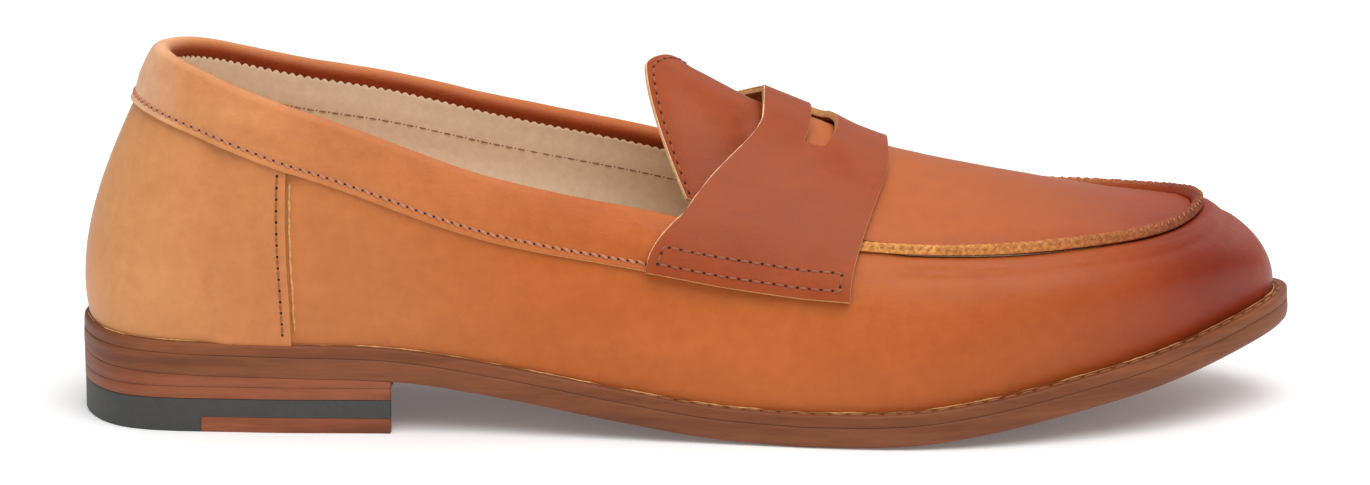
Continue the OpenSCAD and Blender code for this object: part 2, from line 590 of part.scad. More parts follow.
// ---------- strap ----------
// s runs across the instep: 0 at the outer end, 1 at the inner one; u is 0 at the rear edge.
wall_share = 0.15;     // share of the strap's girth on each wall
strap_drop = 16.4;     // reach of its ends down the wall below the top edge
strap_rest = 0.5;      // gap under its front edge
flare_from = 0.2;      // share of its half length from which it grows wider
slot_back = 3;         // how far the coin slot lies behind the strap's middle
function strap_x_at(s, u) = let(flare = smooth((abs(2 * s - 1) - flare_from) / (1 - flare_from)))
    mix(strap_x, strap_end_x, flare) + (u - 0.5) * mix(strap_w, strap_end_w, flare);
function strap_point(s, u, off) = let(x = strap_x_at(s, u),
    near = s < wall_share, far = s > 1 - wall_share, side = near ? 1 : -1,
    k = near ? 1 - s / wall_share : (s - 1 + wall_share) / wall_share,
    v = near || far ? drop_v(side * top_t(x), k * strap_drop) : 1,
    t = t_at(x, v), o = off + (strap_gap - strap_rest) * (1 - smooth((u - 0.45) * 3)))
    near || far ? skin(side * t, v, o)
                : roof(x, (s - wall_share) / (1 - 2 * wall_share), o);
strap_rows = concat(steps(0, wall_share, 5), steps(wall_share + 0.05, 1 - wall_share - 0.05, 18),
    steps(1 - wall_share, 1, 5));
module strap_slot() translate([strap_x - slot_back, centre[1], seat(strap_x) + ball_width / 2])
    cube([slot_w, slot_length, ball_width], center = true);
module strap() color("sienna") place() difference() {
    us = steps(0, 1, 8);
    shell([for (s = strap_rows) [for (u = us) strap_point(s, u, strap_th + strap_rest)]],
        [for (s = strap_rows) [for (u = us) strap_point(s, u, strap_rest)]]);
    strap_slot();
}

// ---------- stitching ----------
on_top = thread_d * (0.5 - thread_sink);   // height of a stitch's middle above the leather
module collar_stitching() {
    reach = top_t(strap_end_x - strap_end_w / 2 - 1);
    ps = steps(-reach, reach, 70);
    color("khaki") place() stitch_run([for (p = ps) skin(p, drop_v(p, collar_w - seam_inset),
        under_collar(top_x(side_t(p))) + collar_th + on_top)]);
}

module counter_stitching() color("khaki") place() for (side = [-1, 1])
    stitch_run([for (v = steps(0.06, drop_v(side * t_at(counter_length, lap_v), collar_w + 1.5), 8))
        counter_point(side * (1 - 0.55 * seam_inset / counter_length), v, on_top)]);

// One closed row on each end of the strap.
strap_row_low = wall_share * 0.12;
strap_row_high = wall_share * 0.42;
strap_row_end = 0.06;
module strap_stitching() color("khaki") place() for (end = [0, 1]) {
    us = steps(strap_row_end, 1 - strap_row_end, 12);
    loop = concat([for (u = us) [strap_row_low, u]], [for (u = reversed(us)) [strap_row_high, u]],
        [[strap_row_low, strap_row_end]]);
    stitch_run([for (a = loop) strap_point(end == 0 ? a[0] : 1 - a[0], a[1],
        strap_th + strap_rest + on_top)]);
}

tongue_row_c = 0.93;   // where the tongue's stitches run along its sides
tongue_row_f = 0.07;   // and along its free end
module tongue_stitching() {
    side_fs = steps(0.7, tongue_row_f, 10);
    edge = concat([for (f = side_fs) [f, -tongue_row_c]],
        [for (c = steps(-0.85, 0.85, 14)) [tongue_row_f, c]],
        [for (f = reversed(side_fs)) [f, tongue_row_c]]);
    color("khaki") place() stitch_run([for (e = edge) tongue_point(e[0], e[1], on_top)]);
}

module apron_stitching() {
    back = top_t(ridge_start + turn_up + 1);
    ps = steps(back, 2 - back, 80);
    color("khaki") place() stitch_run([for (p = ps) wall(p, 1) + ridge_axis(p) * (ridge_at(p) * 0.6)
        - ridge_side(p) * (leather_th + fit_gap + on_top)]);
}

sole_row_back = 0.476;    // p where the sole's visible stitches start
sole_pitch = 4.5;
module sole_stitching() {
    ps = steps(sole_row_back, 2 - sole_row_back, 120);
    color("khaki") place() stitch_run([for (p = ps) let(e = inset_edge(p, ledge(p) * 0.5)) [e[0], e[1],
        seat(e[0]) + sole_thread_d * (0.5 - thread_sink)]], sole_pitch, sole_thread_d);
}

outsole();
rand();
insole();
sock_liner();
cork_filler();
heel_filler();
shank();
heel_lift_upper();
heel_lift_lower();
top_piece();
top_piece_insert();
heel_nails();
counter();
vamp();
collar();
collar_padding();
strap();
apron();
tongue();
tongue_lining();
quarter_lining();
vamp_lining();
heel_stiffener();
toe_puff();
collar_stitching();
counter_stitching();
strap_stitching();
tongue_stitching();
apron_stitching();
sole_stitching();
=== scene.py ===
"""Looks of the penny loafer: leather, sole unit, linings and stitching around the CAD frame.
Lengths in the formulas are in millimetres, with x from the back of the heel."""
import math

import bmesh
import bpy
import numpy as np
from bpy.props import FloatProperty, FloatVectorProperty, PointerProperty
from mathutils import Matrix, Vector, noise


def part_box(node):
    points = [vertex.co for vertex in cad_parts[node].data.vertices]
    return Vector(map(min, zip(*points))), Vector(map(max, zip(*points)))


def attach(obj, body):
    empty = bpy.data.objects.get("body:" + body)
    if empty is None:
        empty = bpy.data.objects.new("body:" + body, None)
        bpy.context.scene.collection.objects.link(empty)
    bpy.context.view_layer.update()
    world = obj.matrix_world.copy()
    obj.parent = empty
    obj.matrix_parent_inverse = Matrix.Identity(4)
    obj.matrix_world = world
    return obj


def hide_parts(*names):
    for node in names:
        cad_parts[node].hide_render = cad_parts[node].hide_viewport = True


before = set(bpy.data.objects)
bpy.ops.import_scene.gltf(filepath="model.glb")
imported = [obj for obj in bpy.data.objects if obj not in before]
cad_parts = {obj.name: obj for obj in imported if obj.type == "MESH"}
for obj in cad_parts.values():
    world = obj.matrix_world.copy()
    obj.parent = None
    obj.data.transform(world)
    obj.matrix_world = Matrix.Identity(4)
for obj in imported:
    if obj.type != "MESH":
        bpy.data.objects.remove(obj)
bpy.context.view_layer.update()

bl_info = {
    "name": "Penny loafer looks",
    "version": (1, 0, 0),
    "blender": (4, 5, 0),
    "location": "View3D > Sidebar > Loafer",
    "description": "Builds the visible leather, sole and stitching of a penny loafer",
    "category": "Object",
}

MM = 0.001
GAP = 0.1           # clearance between lapped leathers
COLLAR_TH = 1.1     # collar leather
ROLL_IN = 3.6       # how far the collar's folded inner face lies inside the last's surface
LINING_TH = 0.7     # lining leather
WALL_SHARE = 0.15   # share of the strap, at each end, that lies on the side wall
SLOT_HALF_S, SLOT_HALF_U, SLOT_MID_U = 0.152, 0.105, 0.43   # the coin slot in the strap's s and u
SHARP = math.radians(50)    # edges sharper than this are rounded or split
UP = np.array([0, 0, 1.0])
MATERIALS = {}
SHOE = "shoe"
FLAP = "tongue_flap"
SOLE_LENGTH = (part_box("outsole")[1].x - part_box("outsole")[0].x) / MM


# ---------- curves ----------
def spline(values, t, straight=False):
    """Smooth curve through evenly spaced values: level, or straight, at its ends."""
    v = np.array(values, float)
    n = len(v) - 1
    s = np.clip(t, 0, 1) * n
    i = np.minimum(s.astype(int), n - 1)
    f = s - i
    ends = (2 * v[0] - v[1], 2 * v[n] - v[n - 1]) if straight else (v[1], v[n - 1])
    e = np.r_[ends[0], v, ends[1]]
    a, b, c, d = e[i], e[i + 1], e[i + 2], e[i + 3]
    return b + 0.5 * f * (c - a + f * (2 * a - 5 * b + 4 * c - d + f * (3 * (b - c) + d - a)))


def curve(points, x):
    """Smooth curve through (x, value) points."""
    px, py = np.array(points, float).T
    n = len(px)
    slope = np.array([(py[min(k + 1, n - 1)] - py[max(k - 1, 0)])
                      / (px[min(k + 1, n - 1)] - px[max(k - 1, 0)]) for k in range(n)])
    i = np.clip(np.searchsorted(px, x) - 1, 0, n - 2)
    h = px[i + 1] - px[i]
    f = np.clip((x - px[i]) / h, 0, 1)
    return ((2 * f**3 - 3 * f**2 + 1) * py[i] + (f**3 - 2 * f**2 + f) * slope[i] * h
            + (3 * f**2 - 2 * f**3) * py[i + 1] + (f**3 - f**2) * slope[i + 1] * h)


def smooth(f):
    g = np.clip(f, 0, 1)
    return g * g * (3 - 2 * g)


def unit(v):
    return v / np.maximum(np.linalg.norm(v, axis=-1, keepdims=True), 1e-9)


def xyz(x, y, z):
    return np.stack(np.broadcast_arrays(x, y, z), -1).astype(float)


def mix(a, b, f):
    return a + (b - a) * f


def wave(points, scale, seed=0.0):
    """Smooth noise from -1 to 1 at each point; scale is in features per millimetre."""
    flat = np.asarray(points).reshape(-1, 3) * scale + seed
    return np.array([noise.noise(p) for p in flat]).reshape(np.shape(points)[:-1])


class Last:
    """The shoe's outer surface as formulas. p runs round it: 0 at the heel, 0 to 1 along the
    outer side, 1 at the toe, and 1 to 2 back along the inner side."""

    sole_lateral = [0, -0.53, -0.65, -0.69, -0.86, -1, -0.75, -0.29]
    sole_medial = [0, 0.53, 0.65, 0.62, 0.68, 0.97, 0.87, 0.54]
    heel_profile = [(0, 1), (0.1, 0.91), (0.183, 0.88), (0.26, 0.83), (0.35, 0.59), (0.44, 0.3),
                    (0.52, 0.075), (0.593, 0)]
    toe_profile = [(0.593, 0), (0.677, 0.035), (0.74, 0.15), (0.807, 0.33), (0.877, 0.53),
                   (0.933, 0.73), (1, 1)]
    ledge_share = [0, 0, 0.1, 0.15, 0.4, 0.8, 1, 1, 1]
    top_lateral = [0, -0.36, -0.54, -0.6, -0.6, -0.7, -0.63, -0.33]
    top_medial = [0, 0.36, 0.54, 0.6, 0.6, 0.68, 0.7, 0.5]
    rise_lateral = [68.6, 66, 57, 46.3, 43.4, 38.7, 32.5, 28.2, 28]
    rise_medial = [68.6, 66.8, 60, 54.6, 52, 41.8, 33.5, 28.6, 28]
    low_out = [5.5, 2, 2.5, 2, 3.5, 1]
    low_up = [22, 20, 15, 12, 14, 9]
    high_reach = [18.5, 18, 17, 16, 18, 15]
    high_tilt = [66, 74, 66, 46, 30, 18]
    crest_rise = [(0.46, 77.5), (0.5, 75.3), (0.553, 68.6), (0.613, 61.8), (0.665, 55.3),
                  (0.693, 52.5), (0.743, 47), (0.793, 40.8), (0.833, 35.7), (0.873, 31.3),
                  (0.91, 28.6), (0.93, 28.1)]
    heel_ledge, rand_ledge = 1.7, 4.0
    top_back = 20.5

    def __init__(self, sizes):
        self.length = sizes.shoe_length / MM
        self.half = sizes.ball_width / MM / 2
        self.heel_height = sizes.heel_height / MM
        self.toe_spring = sizes.toe_spring / MM
        self.swing = sizes.toe_swing / MM
        self.sole_th = (sizes.outsole_th + sizes.rand_th) / MM
        self.rand_th = sizes.rand_th / MM
        self.top_front = self.length - 24
        edge = self.sole_edge(np.arange(96) / 48)
        self.centre = np.array([self.length / 2, (edge[:, 1].max() + edge[:, 1].min()) / 2, 0])

    def place(self, points):
        """Row-frame metres of points in the formulas' millimetres."""
        return (np.asarray(points) - self.centre) * MM

    @staticmethod
    def side(p):
        w = np.mod(p, 2)
        return np.minimum(w, 2 - w), w <= 1

    def sole_bottom(self, x):
        f = x / self.length
        return np.where(f < 0.593, self.heel_height * curve(self.heel_profile, f),
                        self.toe_spring * curve(self.toe_profile, f))

    def seat(self, x):
        return self.sole_bottom(x) + self.sole_th

    def sole_edge(self, p):
        t, outer = self.side(p)
        y = [spline([v * self.half for v in row] + [self.swing], t, True)
             for row in (self.sole_lateral, self.sole_medial)]
        return np.stack([self.length * (1 - np.cos(np.pi * t)) / 2, np.where(outer, *y)], -1)

    def edge_out(self, p):
        v = self.sole_edge(p + 0.004) - self.sole_edge(p - 0.004)
        return unit(np.stack([v[..., 1], -v[..., 0]], -1))

    def ledge(self, p):
        return mix(self.heel_ledge, self.rand_ledge, spline(self.ledge_share, self.side(p)[0]))

    def sole_point(self, p, inset, dz, on_ledge=0.0):
        """A point inside the sole's outline, dz above the sole's top."""
        xy = self.sole_edge(p) - (inset + on_ledge * self.ledge(p))[..., None] * self.edge_out(p)
        return xyz(xy[..., 0], xy[..., 1], self.seat(xy[..., 0]) + dz)

    def top_x(self, t):
        return mix(self.top_back, self.top_front, (1 - np.cos(np.pi * t)) / 2)

    @staticmethod
    def t_along(f):
        return np.arccos(1 - 2 * np.clip(f, 0, 1)) / np.pi

    def top_t(self, x):
        return self.t_along((x - self.top_back) / (self.top_front - self.top_back))

    def t_at(self, x, v):
        return mix(self.t_along(x / self.length), self.top_t(x), smooth(v))

    def top_edge(self, p):
        t, outer = self.side(p)
        x = self.top_x(t)
        y = [spline([v * self.half for v in row] + [self.swing], t, True)
             for row in (self.top_lateral, self.top_medial)]
        rise = np.where(outer, spline(self.rise_lateral, t), spline(self.rise_medial, t))
        return xyz(x, np.where(outer, *y), self.seat(x) + rise)

    def wall(self, p, v):
        p, v = np.broadcast_arrays(np.asarray(p, float), np.asarray(v, float))
        t = self.side(p)[0]
        n2 = self.edge_out(p)
        n = xyz(n2[..., 0], n2[..., 1], 0)
        a = self.sole_point(p, np.zeros_like(p), 0, 1)
        d = self.top_edge(p)
        tilt = np.radians(spline(self.high_tilt, t))[..., None]
        b = a + n * spline(self.low_out, t)[..., None] + UP * spline(self.low_up, t)[..., None]
        c = d + spline(self.high_reach, t)[..., None] * (n * np.cos(tilt) - UP * np.sin(tilt))
        v = v[..., None]
        w = 1 - v
        return w**3 * a + 3 * w * w * v * b + 3 * w * v * v * c + v**3 * d

    def wall_up(self, p, v):
        return unit(self.wall(p, v + 0.01) - self.wall(p, v - 0.01))

    def wall_out(self, p, v):
        return unit(np.cross(self.wall(p + 0.004, v) - self.wall(p - 0.004, v),
                             self.wall_up(p, v)))

    def skin(self, p, v, off):
        return self.wall(p, v) + np.asarray(off)[..., None] * self.wall_out(p, v)

    def drop_v(self, p, drop):
        """The v that lies a given distance below the top edge."""
        p, drop = np.broadcast_arrays(np.asarray(p, float), np.asarray(drop, float))
        lo, hi, top = np.zeros(p.shape), np.ones(p.shape), self.top_edge(p)
        for _ in range(14):
            m = (lo + hi) / 2
            far = np.linalg.norm(self.wall(p, m) - top, axis=-1) > drop
            lo, hi = np.where(far, m, lo), np.where(far, hi, m)
        return (lo + hi) / 2

    def crest_z(self, x):
        return self.seat(x) + curve(self.crest_rise, x / self.length)

    def arch(self, x, q):
        """The instep's outer surface: q is 0 at the outer top edge and 1 at the inner one."""
        x, q = np.broadcast_arrays(np.asarray(x, float), np.asarray(q, float))
        t = self.top_t(x)
        a, d = self.top_edge(t), self.top_edge(2 - t)
        tilt = np.radians(spline(self.high_tilt, t))
        k = ((self.crest_z(x) - (a[..., 2] + d[..., 2]) / 2) / (0.75 * np.sin(tilt)))[..., None]
        w, q = 1 - q[..., None], q[..., None]
        b = a + k * xyz(0, np.cos(tilt), np.sin(tilt))
        c = d + k * xyz(0, -np.cos(tilt), np.sin(tilt))
        return w**3 * a + 3 * w * w * q * b + 3 * w * q * q * c + q**3 * d

    def arch_out(self, x, q):
        return unit(np.cross(self.arch(x + 0.4, q) - self.arch(x - 0.4, q),
                             self.arch(x, q + 0.01) - self.arch(x, q - 0.01)))

    def roof(self, x, q, off):
        return self.arch(x, q) + np.asarray(off)[..., None] * self.arch_out(x, q)


# ---------- mesh builders ----------
def finish_mesh(name, bm, materials, body, nodes=()):
    """Makes the object, shades it smooth and ties it to its CAD body and nodes."""
    mesh = bpy.data.meshes.new(name)
    bm.to_mesh(mesh)
    bm.free()
    for material in materials:
        mesh.materials.append(material)
    mesh.shade_smooth()
    obj = bpy.data.objects.new(name, mesh)
    bpy.context.scene.collection.objects.link(obj)
    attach(obj, body)
    if nodes:
        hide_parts(*nodes)
    return obj


def grid_mesh(last, points, outward=None):
    """A bmesh grid with a vertex at each of points[row, column], facing outward."""
    rows, cols = points.shape[:2]
    bm = bmesh.new()
    uv = bm.loops.layers.uv.new("UVMap")
    bmesh.ops.create_grid(bm, x_segments=cols - 1, y_segments=rows - 1, size=1)
    cells = {v: (round((v.co.y + 1) / 2 * (rows - 1)), round((v.co.x + 1) / 2 * (cols - 1)))
             for v in bm.verts}
    for face in bm.faces:
        for loop in face.loops:
            r, c = cells[loop.vert]
            loop[uv].uv = (c / (cols - 1), r / (rows - 1))
    placed = last.place(points)
    for v, (r, c) in cells.items():
        v.co = placed[r, c]
    if outward is not None:
        r, c = rows // 2, cols // 2
        across = np.cross(points[r, c + 1] - points[r, c], points[r + 1, c] - points[r, c])
        if across @ outward < 0:
            bmesh.ops.reverse_faces(bm, faces=bm.faces)
    return bm


def away(points):
    """Direction from the middle of the shoe's inside to the middle of a grid."""
    mid = points[points.shape[0] // 2, points.shape[1] // 2]
    return mid - np.array([mid[0], 0, 30])


def sheet(last, name, points, thick, materials, body, nodes=(), round_off=0.3,
          outward=None, raw=False):
    """A leather piece: its outer face is the grid, with thickness and rounded cut edges.
    The materials are the face's, the cut edge's and the flesh side's."""
    bm = grid_mesh(last, points, away(points) if outward is None else outward)
    obj = finish_mesh(name, bm, materials, body, nodes)
    solid = obj.modifiers.new("Thickness", "SOLIDIFY")
    solid.thickness = thick * MM
    solid.offset = -1
    solid.use_even_offset = False
    solid.material_offset_rim = 1
    solid.material_offset = 2
    bevel = obj.modifiers.new("Edges", "BEVEL")
    bevel.width = round_off * MM
    bevel.segments = 3
    bevel.limit_method = "ANGLE"
    bevel.angle_limit = SHARP
    bevel.material = 1 if raw else -1
    return obj


def closed_mesh(last, rings, merge=1e-6):
    """A closed solid from rings[ring, point]: points run round, and the rings' ends are joined
    where they meet."""
    ring = np.concatenate([rings, rings[:, :1]], 1)
    bm = grid_mesh(last, ring)
    bmesh.ops.remove_doubles(bm, verts=bm.verts, dist=merge)
    if bm.calc_volume(signed=True) < 0:
        bmesh.ops.reverse_faces(bm, faces=bm.faces)
    return bm


def filled(loop_rings, axis_points, heights, shares=(0.3, 0.65, 1.0)):
    """Adds rings that run in from the first and last ring to the axis, at heights(x, end)."""
    def inward(ring, end):
        out = []
        for s in shares:
            r = mix(ring, axis_points, s)
            r[:, 2] = heights(r[:, 0], end)
            out.append(r)
        return out
    top, low = inward(loop_rings[0], 0), inward(loop_rings[-1], 1)
    return np.array(top[::-1] + list(loop_rings) + low)


def grains(last, name, places, material, body, nodes=(), sections=(8, 5)):
    """Stitches: one stretched bead for each (centre, along, normal, length, width, height)."""
    bm = bmesh.new()
    bm.loops.layers.uv.new("UVMap")
    for centre, along, normal, length, width, height in places:
        z = Vector(unit(normal))
        x = Vector(unit(along))
        y = z.cross(x).normalized()
        z = x.cross(y)
        turn = Matrix((x, y, z)).transposed().to_4x4()
        size = Matrix.Diagonal((length * MM / 2, width * MM / 2, height * MM / 2, 1))
        bmesh.ops.create_uvsphere(
            bm, u_segments=sections[0], v_segments=sections[1], radius=1,
            matrix=Matrix.Translation(last.place(centre)) @ turn @ size
            @ Matrix.Rotation(math.pi / 2, 4, "Y"))
    return finish_mesh(name, bm, [material], body, nodes)


def along_path(path, normals, pitch):
    """Evenly spaced (centre, along, normal, step) on a path."""
    lengths = np.r_[0, np.cumsum(np.linalg.norm(np.diff(path, axis=0), axis=1))]
    count = max(1, round(lengths[-1] / pitch))
    def at(s):
        return np.array([np.interp(s, lengths, path[:, k]) for k in range(3)]).T
    def normal_at(s):
        return np.array([np.interp(s, lengths, normals[:, k]) for k in range(3)]).T
    step = lengths[-1] / count
    mids = (np.arange(count) + 0.5) * step
    ends = np.arange(count + 1) * step
    return (at(mids), at(mids + step / 2) - at(mids - step / 2), normal_at(mids), step,
            at(ends), normal_at(ends))


def sew(last, name, runs, thread, hole, body, nodes=(), pitch=3.0, width=0.62,
        cover=0.66, lift=0.08, pit=0.85, slant=0.0):
    """A row of stitches along each (path, normals) run; its needle holes are painted-shade dots."""
    beads, pits = [], []
    for path, normals in runs:
        mids, along, normal, step, ends, end_normal = along_path(path, normals, pitch)
        along = unit(along)
        turned = unit(along + slant * np.cross(unit(normal), along))
        for k in range(len(mids)):
            beads.append((mids[k] + lift * unit(normal[k]), turned[k], normal[k], step * cover,
                          width, width * 0.85))
        for k in range(len(ends)):
            pits.append((ends[k], along[min(k, len(mids) - 1)], end_normal[k], pit, pit * 0.85,
                         0.22))
    grains(last, name, beads, thread, body, nodes)
    # The pits are dark dots of painted shade where the needle holes are.
    if pit:
        grains(last, name + "_holes", pits, hole, body, (), (8, 4))


def cord(last, name, runs, thick, material, body, nodes=(), seed=0.0, broken=0.0,
         sides=8):
    """A frayed line of raw leather along each (path, normals) run, tapered at its ends. broken is
    how far it thins away here and there."""
    bm = bmesh.new()
    for path, normals in runs:
        along = unit(np.gradient(path, axis=0))
        up = unit(normals)
        side = np.cross(up, along)
        arc = np.cumsum(np.r_[0, np.linalg.norm(np.diff(path, axis=0), axis=1)])
        fray = 1 + 0.5 * wave(xyz(arc * 0.45, seed, 0), 1.0, 3.0) + 0.3 * wave(
            xyz(arc * 1.7, seed, 0), 1.0, 13.0)
        ends = smooth(arc / 2) * smooth((arc[-1] - arc) / 2) * mix(
            1, 0.1 + 0.9 * smooth(0.5 + 2.5 * wave(xyz(arc * 0.12, seed, 9), 1.0)), broken)
        radius = (thick / 2 * np.clip(fray, 0.3, 2) * ends)[:, None]
        stray = 0.3 * thick * wave(xyz(arc * 0.3, seed, 5), 1.0, 23.0)[:, None]
        rings = np.array([path + side * (stray + radius * math.cos(a)) + up * radius * math.sin(a)
                          for a in np.arange(sides + 1) * 2 * math.pi / sides])
        part = grid_mesh(last, rings)
        bmesh.ops.remove_doubles(part, verts=part.verts, dist=1e-7)
        bmesh.ops.dissolve_degenerate(part, edges=part.edges, dist=1e-7)
        if part.calc_volume(signed=True) < 0:
            bmesh.ops.reverse_faces(part, faces=part.faces)
        mesh = bpy.data.meshes.new("strand")
        part.to_mesh(mesh)
        part.free()
        bm.from_mesh(mesh)
        bpy.data.meshes.remove(mesh)
    return finish_mesh(name, bm, [material], body, nodes)


# ---------- materials ----------
class Shader:
    """A material made of procedural nodes on object coordinates, in metres."""

    def __init__(self, name, **fixed):
        self.material = bpy.data.materials.get(name) or bpy.data.materials.new(name)
        self.material.use_nodes = True
        self.tree = self.material.node_tree
        self.bsdf = self.tree.nodes["Principled BSDF"]
        self.place = self.add("ShaderNodeTexCoord").outputs["Object"]
        for key, value in fixed.items():
            self.bsdf.inputs[key.replace("_", " ")].default_value = value

    def add(self, kind, inputs=None, **props):
        node = self.tree.nodes.new(kind)
        for key, value in props.items():
            setattr(node, key, value)
        for key, value in (inputs or {}).items():
            if isinstance(value, bpy.types.NodeSocket):
                self.tree.links.new(value, node.inputs[key])
            else:
                node.inputs[key].default_value = value
        return node

    def set(self, key, socket):
        self.tree.links.new(socket, self.bsdf.inputs[key])

    def noise(self, scale, detail=4.0, rough=0.55, stretch=None, distort=0.0):
        place = self.place
        if stretch:
            place = self.add("ShaderNodeMapping", {"Vector": place, "Scale": stretch}).outputs[0]
        return self.add("ShaderNodeTexNoise", {
            "Vector": place, "Scale": scale, "Detail": detail, "Roughness": rough,
            "Distortion": distort}).outputs["Fac"]

    def ramp(self, fac, stops):
        node = self.add("ShaderNodeValToRGB", {"Fac": fac})
        ramp = node.color_ramp
        while len(ramp.elements) < len(stops):
            ramp.elements.new(0.5)
        for element, (at, colour) in zip(ramp.elements, stops):
            element.position = at
            element.color = (*colour, 1) if len(colour) == 3 else colour
        return node.outputs["Color"]

    def blend(self, fac, a, b, mode="MIX"):
        return self.add("ShaderNodeMix", {0: fac, 6: a, 7: b}, data_type="RGBA",
                        blend_type=mode).outputs[2]

    def maths(self, kind, a, b=0.0, clamp=False):
        return self.add("ShaderNodeMath", {0: a, 1: b}, operation=kind, use_clamp=clamp).outputs[0]

    def along_x(self, start, end):
        """0 to 1 from x = start to x = end, in row-frame metres."""
        x = self.add("ShaderNodeSeparateXYZ", {0: self.place}).outputs[0]
        return self.add("ShaderNodeMapRange", {"Value": x, "From Min": start, "From Max": end},
                        clamp=True).outputs[0]

    def bump(self, *layers):
        """Layers are (height socket, strength, distance in metres)."""
        normal = None
        for height, strength, distance in layers:
            inputs = {"Height": height, "Strength": strength, "Distance": distance}
            if normal:
                inputs["Normal"] = normal
            normal = self.add("ShaderNodeBump", inputs).outputs[0]
        self.set("Normal", normal)


def linear(colour):
    """Linear colour from display values of 0 to 255."""
    return tuple(((c / 255) / 12.92 if c <= 10 else ((c / 255 + 0.055) / 1.055) ** 2.4)
                 for c in colour)


def mix_colour(a, b, share):
    return tuple(x + (y - x) * share for x, y in zip(a, b))


def leather(name, tones, rough=0.45, mottle=0.09, grain=1.0, coat=0.03, start=-0.1, end=0.15,
            inside=None, burnish=None, speckle=0.0):
    """Aniline leather whose tone changes along the shoe; tones are (share, linear colour).
    inside is (colours, from, to) across the piece; burnish is (place, radius, tint); speckle is
    the contrast of frayed fibres."""
    s = Shader(name, Specular_IOR_Level=0.22)
    base = s.ramp(s.along_x(start, end), tones)
    if inside:
        stops, low, high = inside
        uv = s.add("ShaderNodeTexCoord").outputs["UV"]
        y = s.add("ShaderNodeSeparateXYZ", {0: uv}).outputs[1]
        f = s.add("ShaderNodeMapRange", {"Value": y, "From Min": low, "From Max": high}, clamp=True,
                  interpolation_type="SMOOTHSTEP").outputs[0]
        base = s.blend(f, base, s.ramp(f, stops))
    if burnish:
        spot, radius, tint = burnish
        far = s.add("ShaderNodeVectorMath", {0: s.place, 1: spot},
                    operation="DISTANCE").outputs["Value"]
        f = s.add("ShaderNodeMapRange",
                  {"Value": far, "From Min": radius, "From Max": 0.2 * radius}, clamp=True,
                  interpolation_type="SMOOTHSTEP").outputs[0]
        base = s.blend(1.0, base, s.ramp(f, [(0, (1,) * 3), (1, tint)]), "MULTIPLY")
    if speckle:
        fibres = s.noise(1100, 3, 0.7)
        dark = (1 - 0.5 * speckle, 1 - speckle, 1 - speckle)
        base = s.blend(1.0, base, s.ramp(fibres, [(0.38, dark), (0.5, (1,) * 3),
                                                  (0.64, (1 + speckle,) * 3)]), "MULTIPLY")
    cloud = s.noise(48, 6, 0.6, (0.6, 1.0, 1.3), distort=0.3)
    fine = s.noise(260, 5, 0.65)
    pores = s.add("ShaderNodeTexVoronoi", {"Vector": s.place, "Scale": 1500.0}).outputs["Distance"]
    deep = (1 - 0.5 * mottle, 1 - mottle, 1 - 1.2 * mottle)
    tone = s.ramp(cloud, [(0.3, deep), (0.7, (1 + mottle * 0.5,) * 3)])
    spots = s.ramp(fine, [(0.35, (0.95, 0.92, 0.9)), (0.65, (1.04,) * 3)])
    s.set("Base Color", s.blend(1.0, s.blend(1.0, base, tone, "MULTIPLY"), spots, "MULTIPLY"))
    s.set("Roughness", s.add("ShaderNodeMapRange", {
        "Value": fine, "From Min": 0.3, "From Max": 0.7, "To Min": rough - 0.05,
        "To Max": rough + 0.08}).outputs[0])
    s.bsdf.inputs["Coat Weight"].default_value = coat
    s.bsdf.inputs["Coat Roughness"].default_value = 0.3
    s.bump((pores, 0.12 * grain, 0.0002), (fine, 0.22 * grain, 0.0004),
           (cloud, 0.25 * grain, 0.0015))
    return s.material


def plain(name, colour, rough=0.6, vary=0.12, scale=300, bump=0.3, depth=0.0003, stretch=None,
          metallic=0.0, detail=4.0):
    """A one-tone material with fine variation."""
    s = Shader(name, Metallic=metallic)
    n = s.noise(scale, detail, 0.6, stretch)
    c = linear(colour)
    s.set("Base Color", s.ramp(n, [(0.3, tuple(v * (1 - vary) for v in c)),
                                   (0.7, tuple(v * (1 + vary) for v in c))]))
    s.set("Roughness", s.add("ShaderNodeMapRange", {"Value": n, "To Min": rough - 0.06,
                                                    "To Max": rough + 0.06}).outputs[0])
    s.bump((n, bump, depth))
    return s.material


def layered(name, colour, line, rough=0.5):
    """Sole or heel leather seen at its dyed edge: faint layer lines and a little mottle."""
    s = Shader(name, Specular_IOR_Level=0.25)
    long_noise = s.noise(70, 4, 0.6, (0.25, 0.25, 3.5))
    fine = s.noise(420, 4, 0.6, (0.3, 0.3, 3.0))
    base = s.ramp(long_noise, [(0.3, linear(line)), (0.62, linear(colour))])
    specks = s.ramp(fine, [(0.3, (0.86,) * 3), (0.65, (1.06,) * 3)])
    s.set("Base Color", s.blend(1.0, base, specks, "MULTIPLY"))
    s.set("Roughness", s.add("ShaderNodeMapRange", {"Value": fine, "To Min": rough - 0.08,
                                                    "To Max": rough + 0.1}).outputs[0])
    s.bump((fine, 0.25, 0.0003), (long_noise, 0.3, 0.0004))
    return s.material


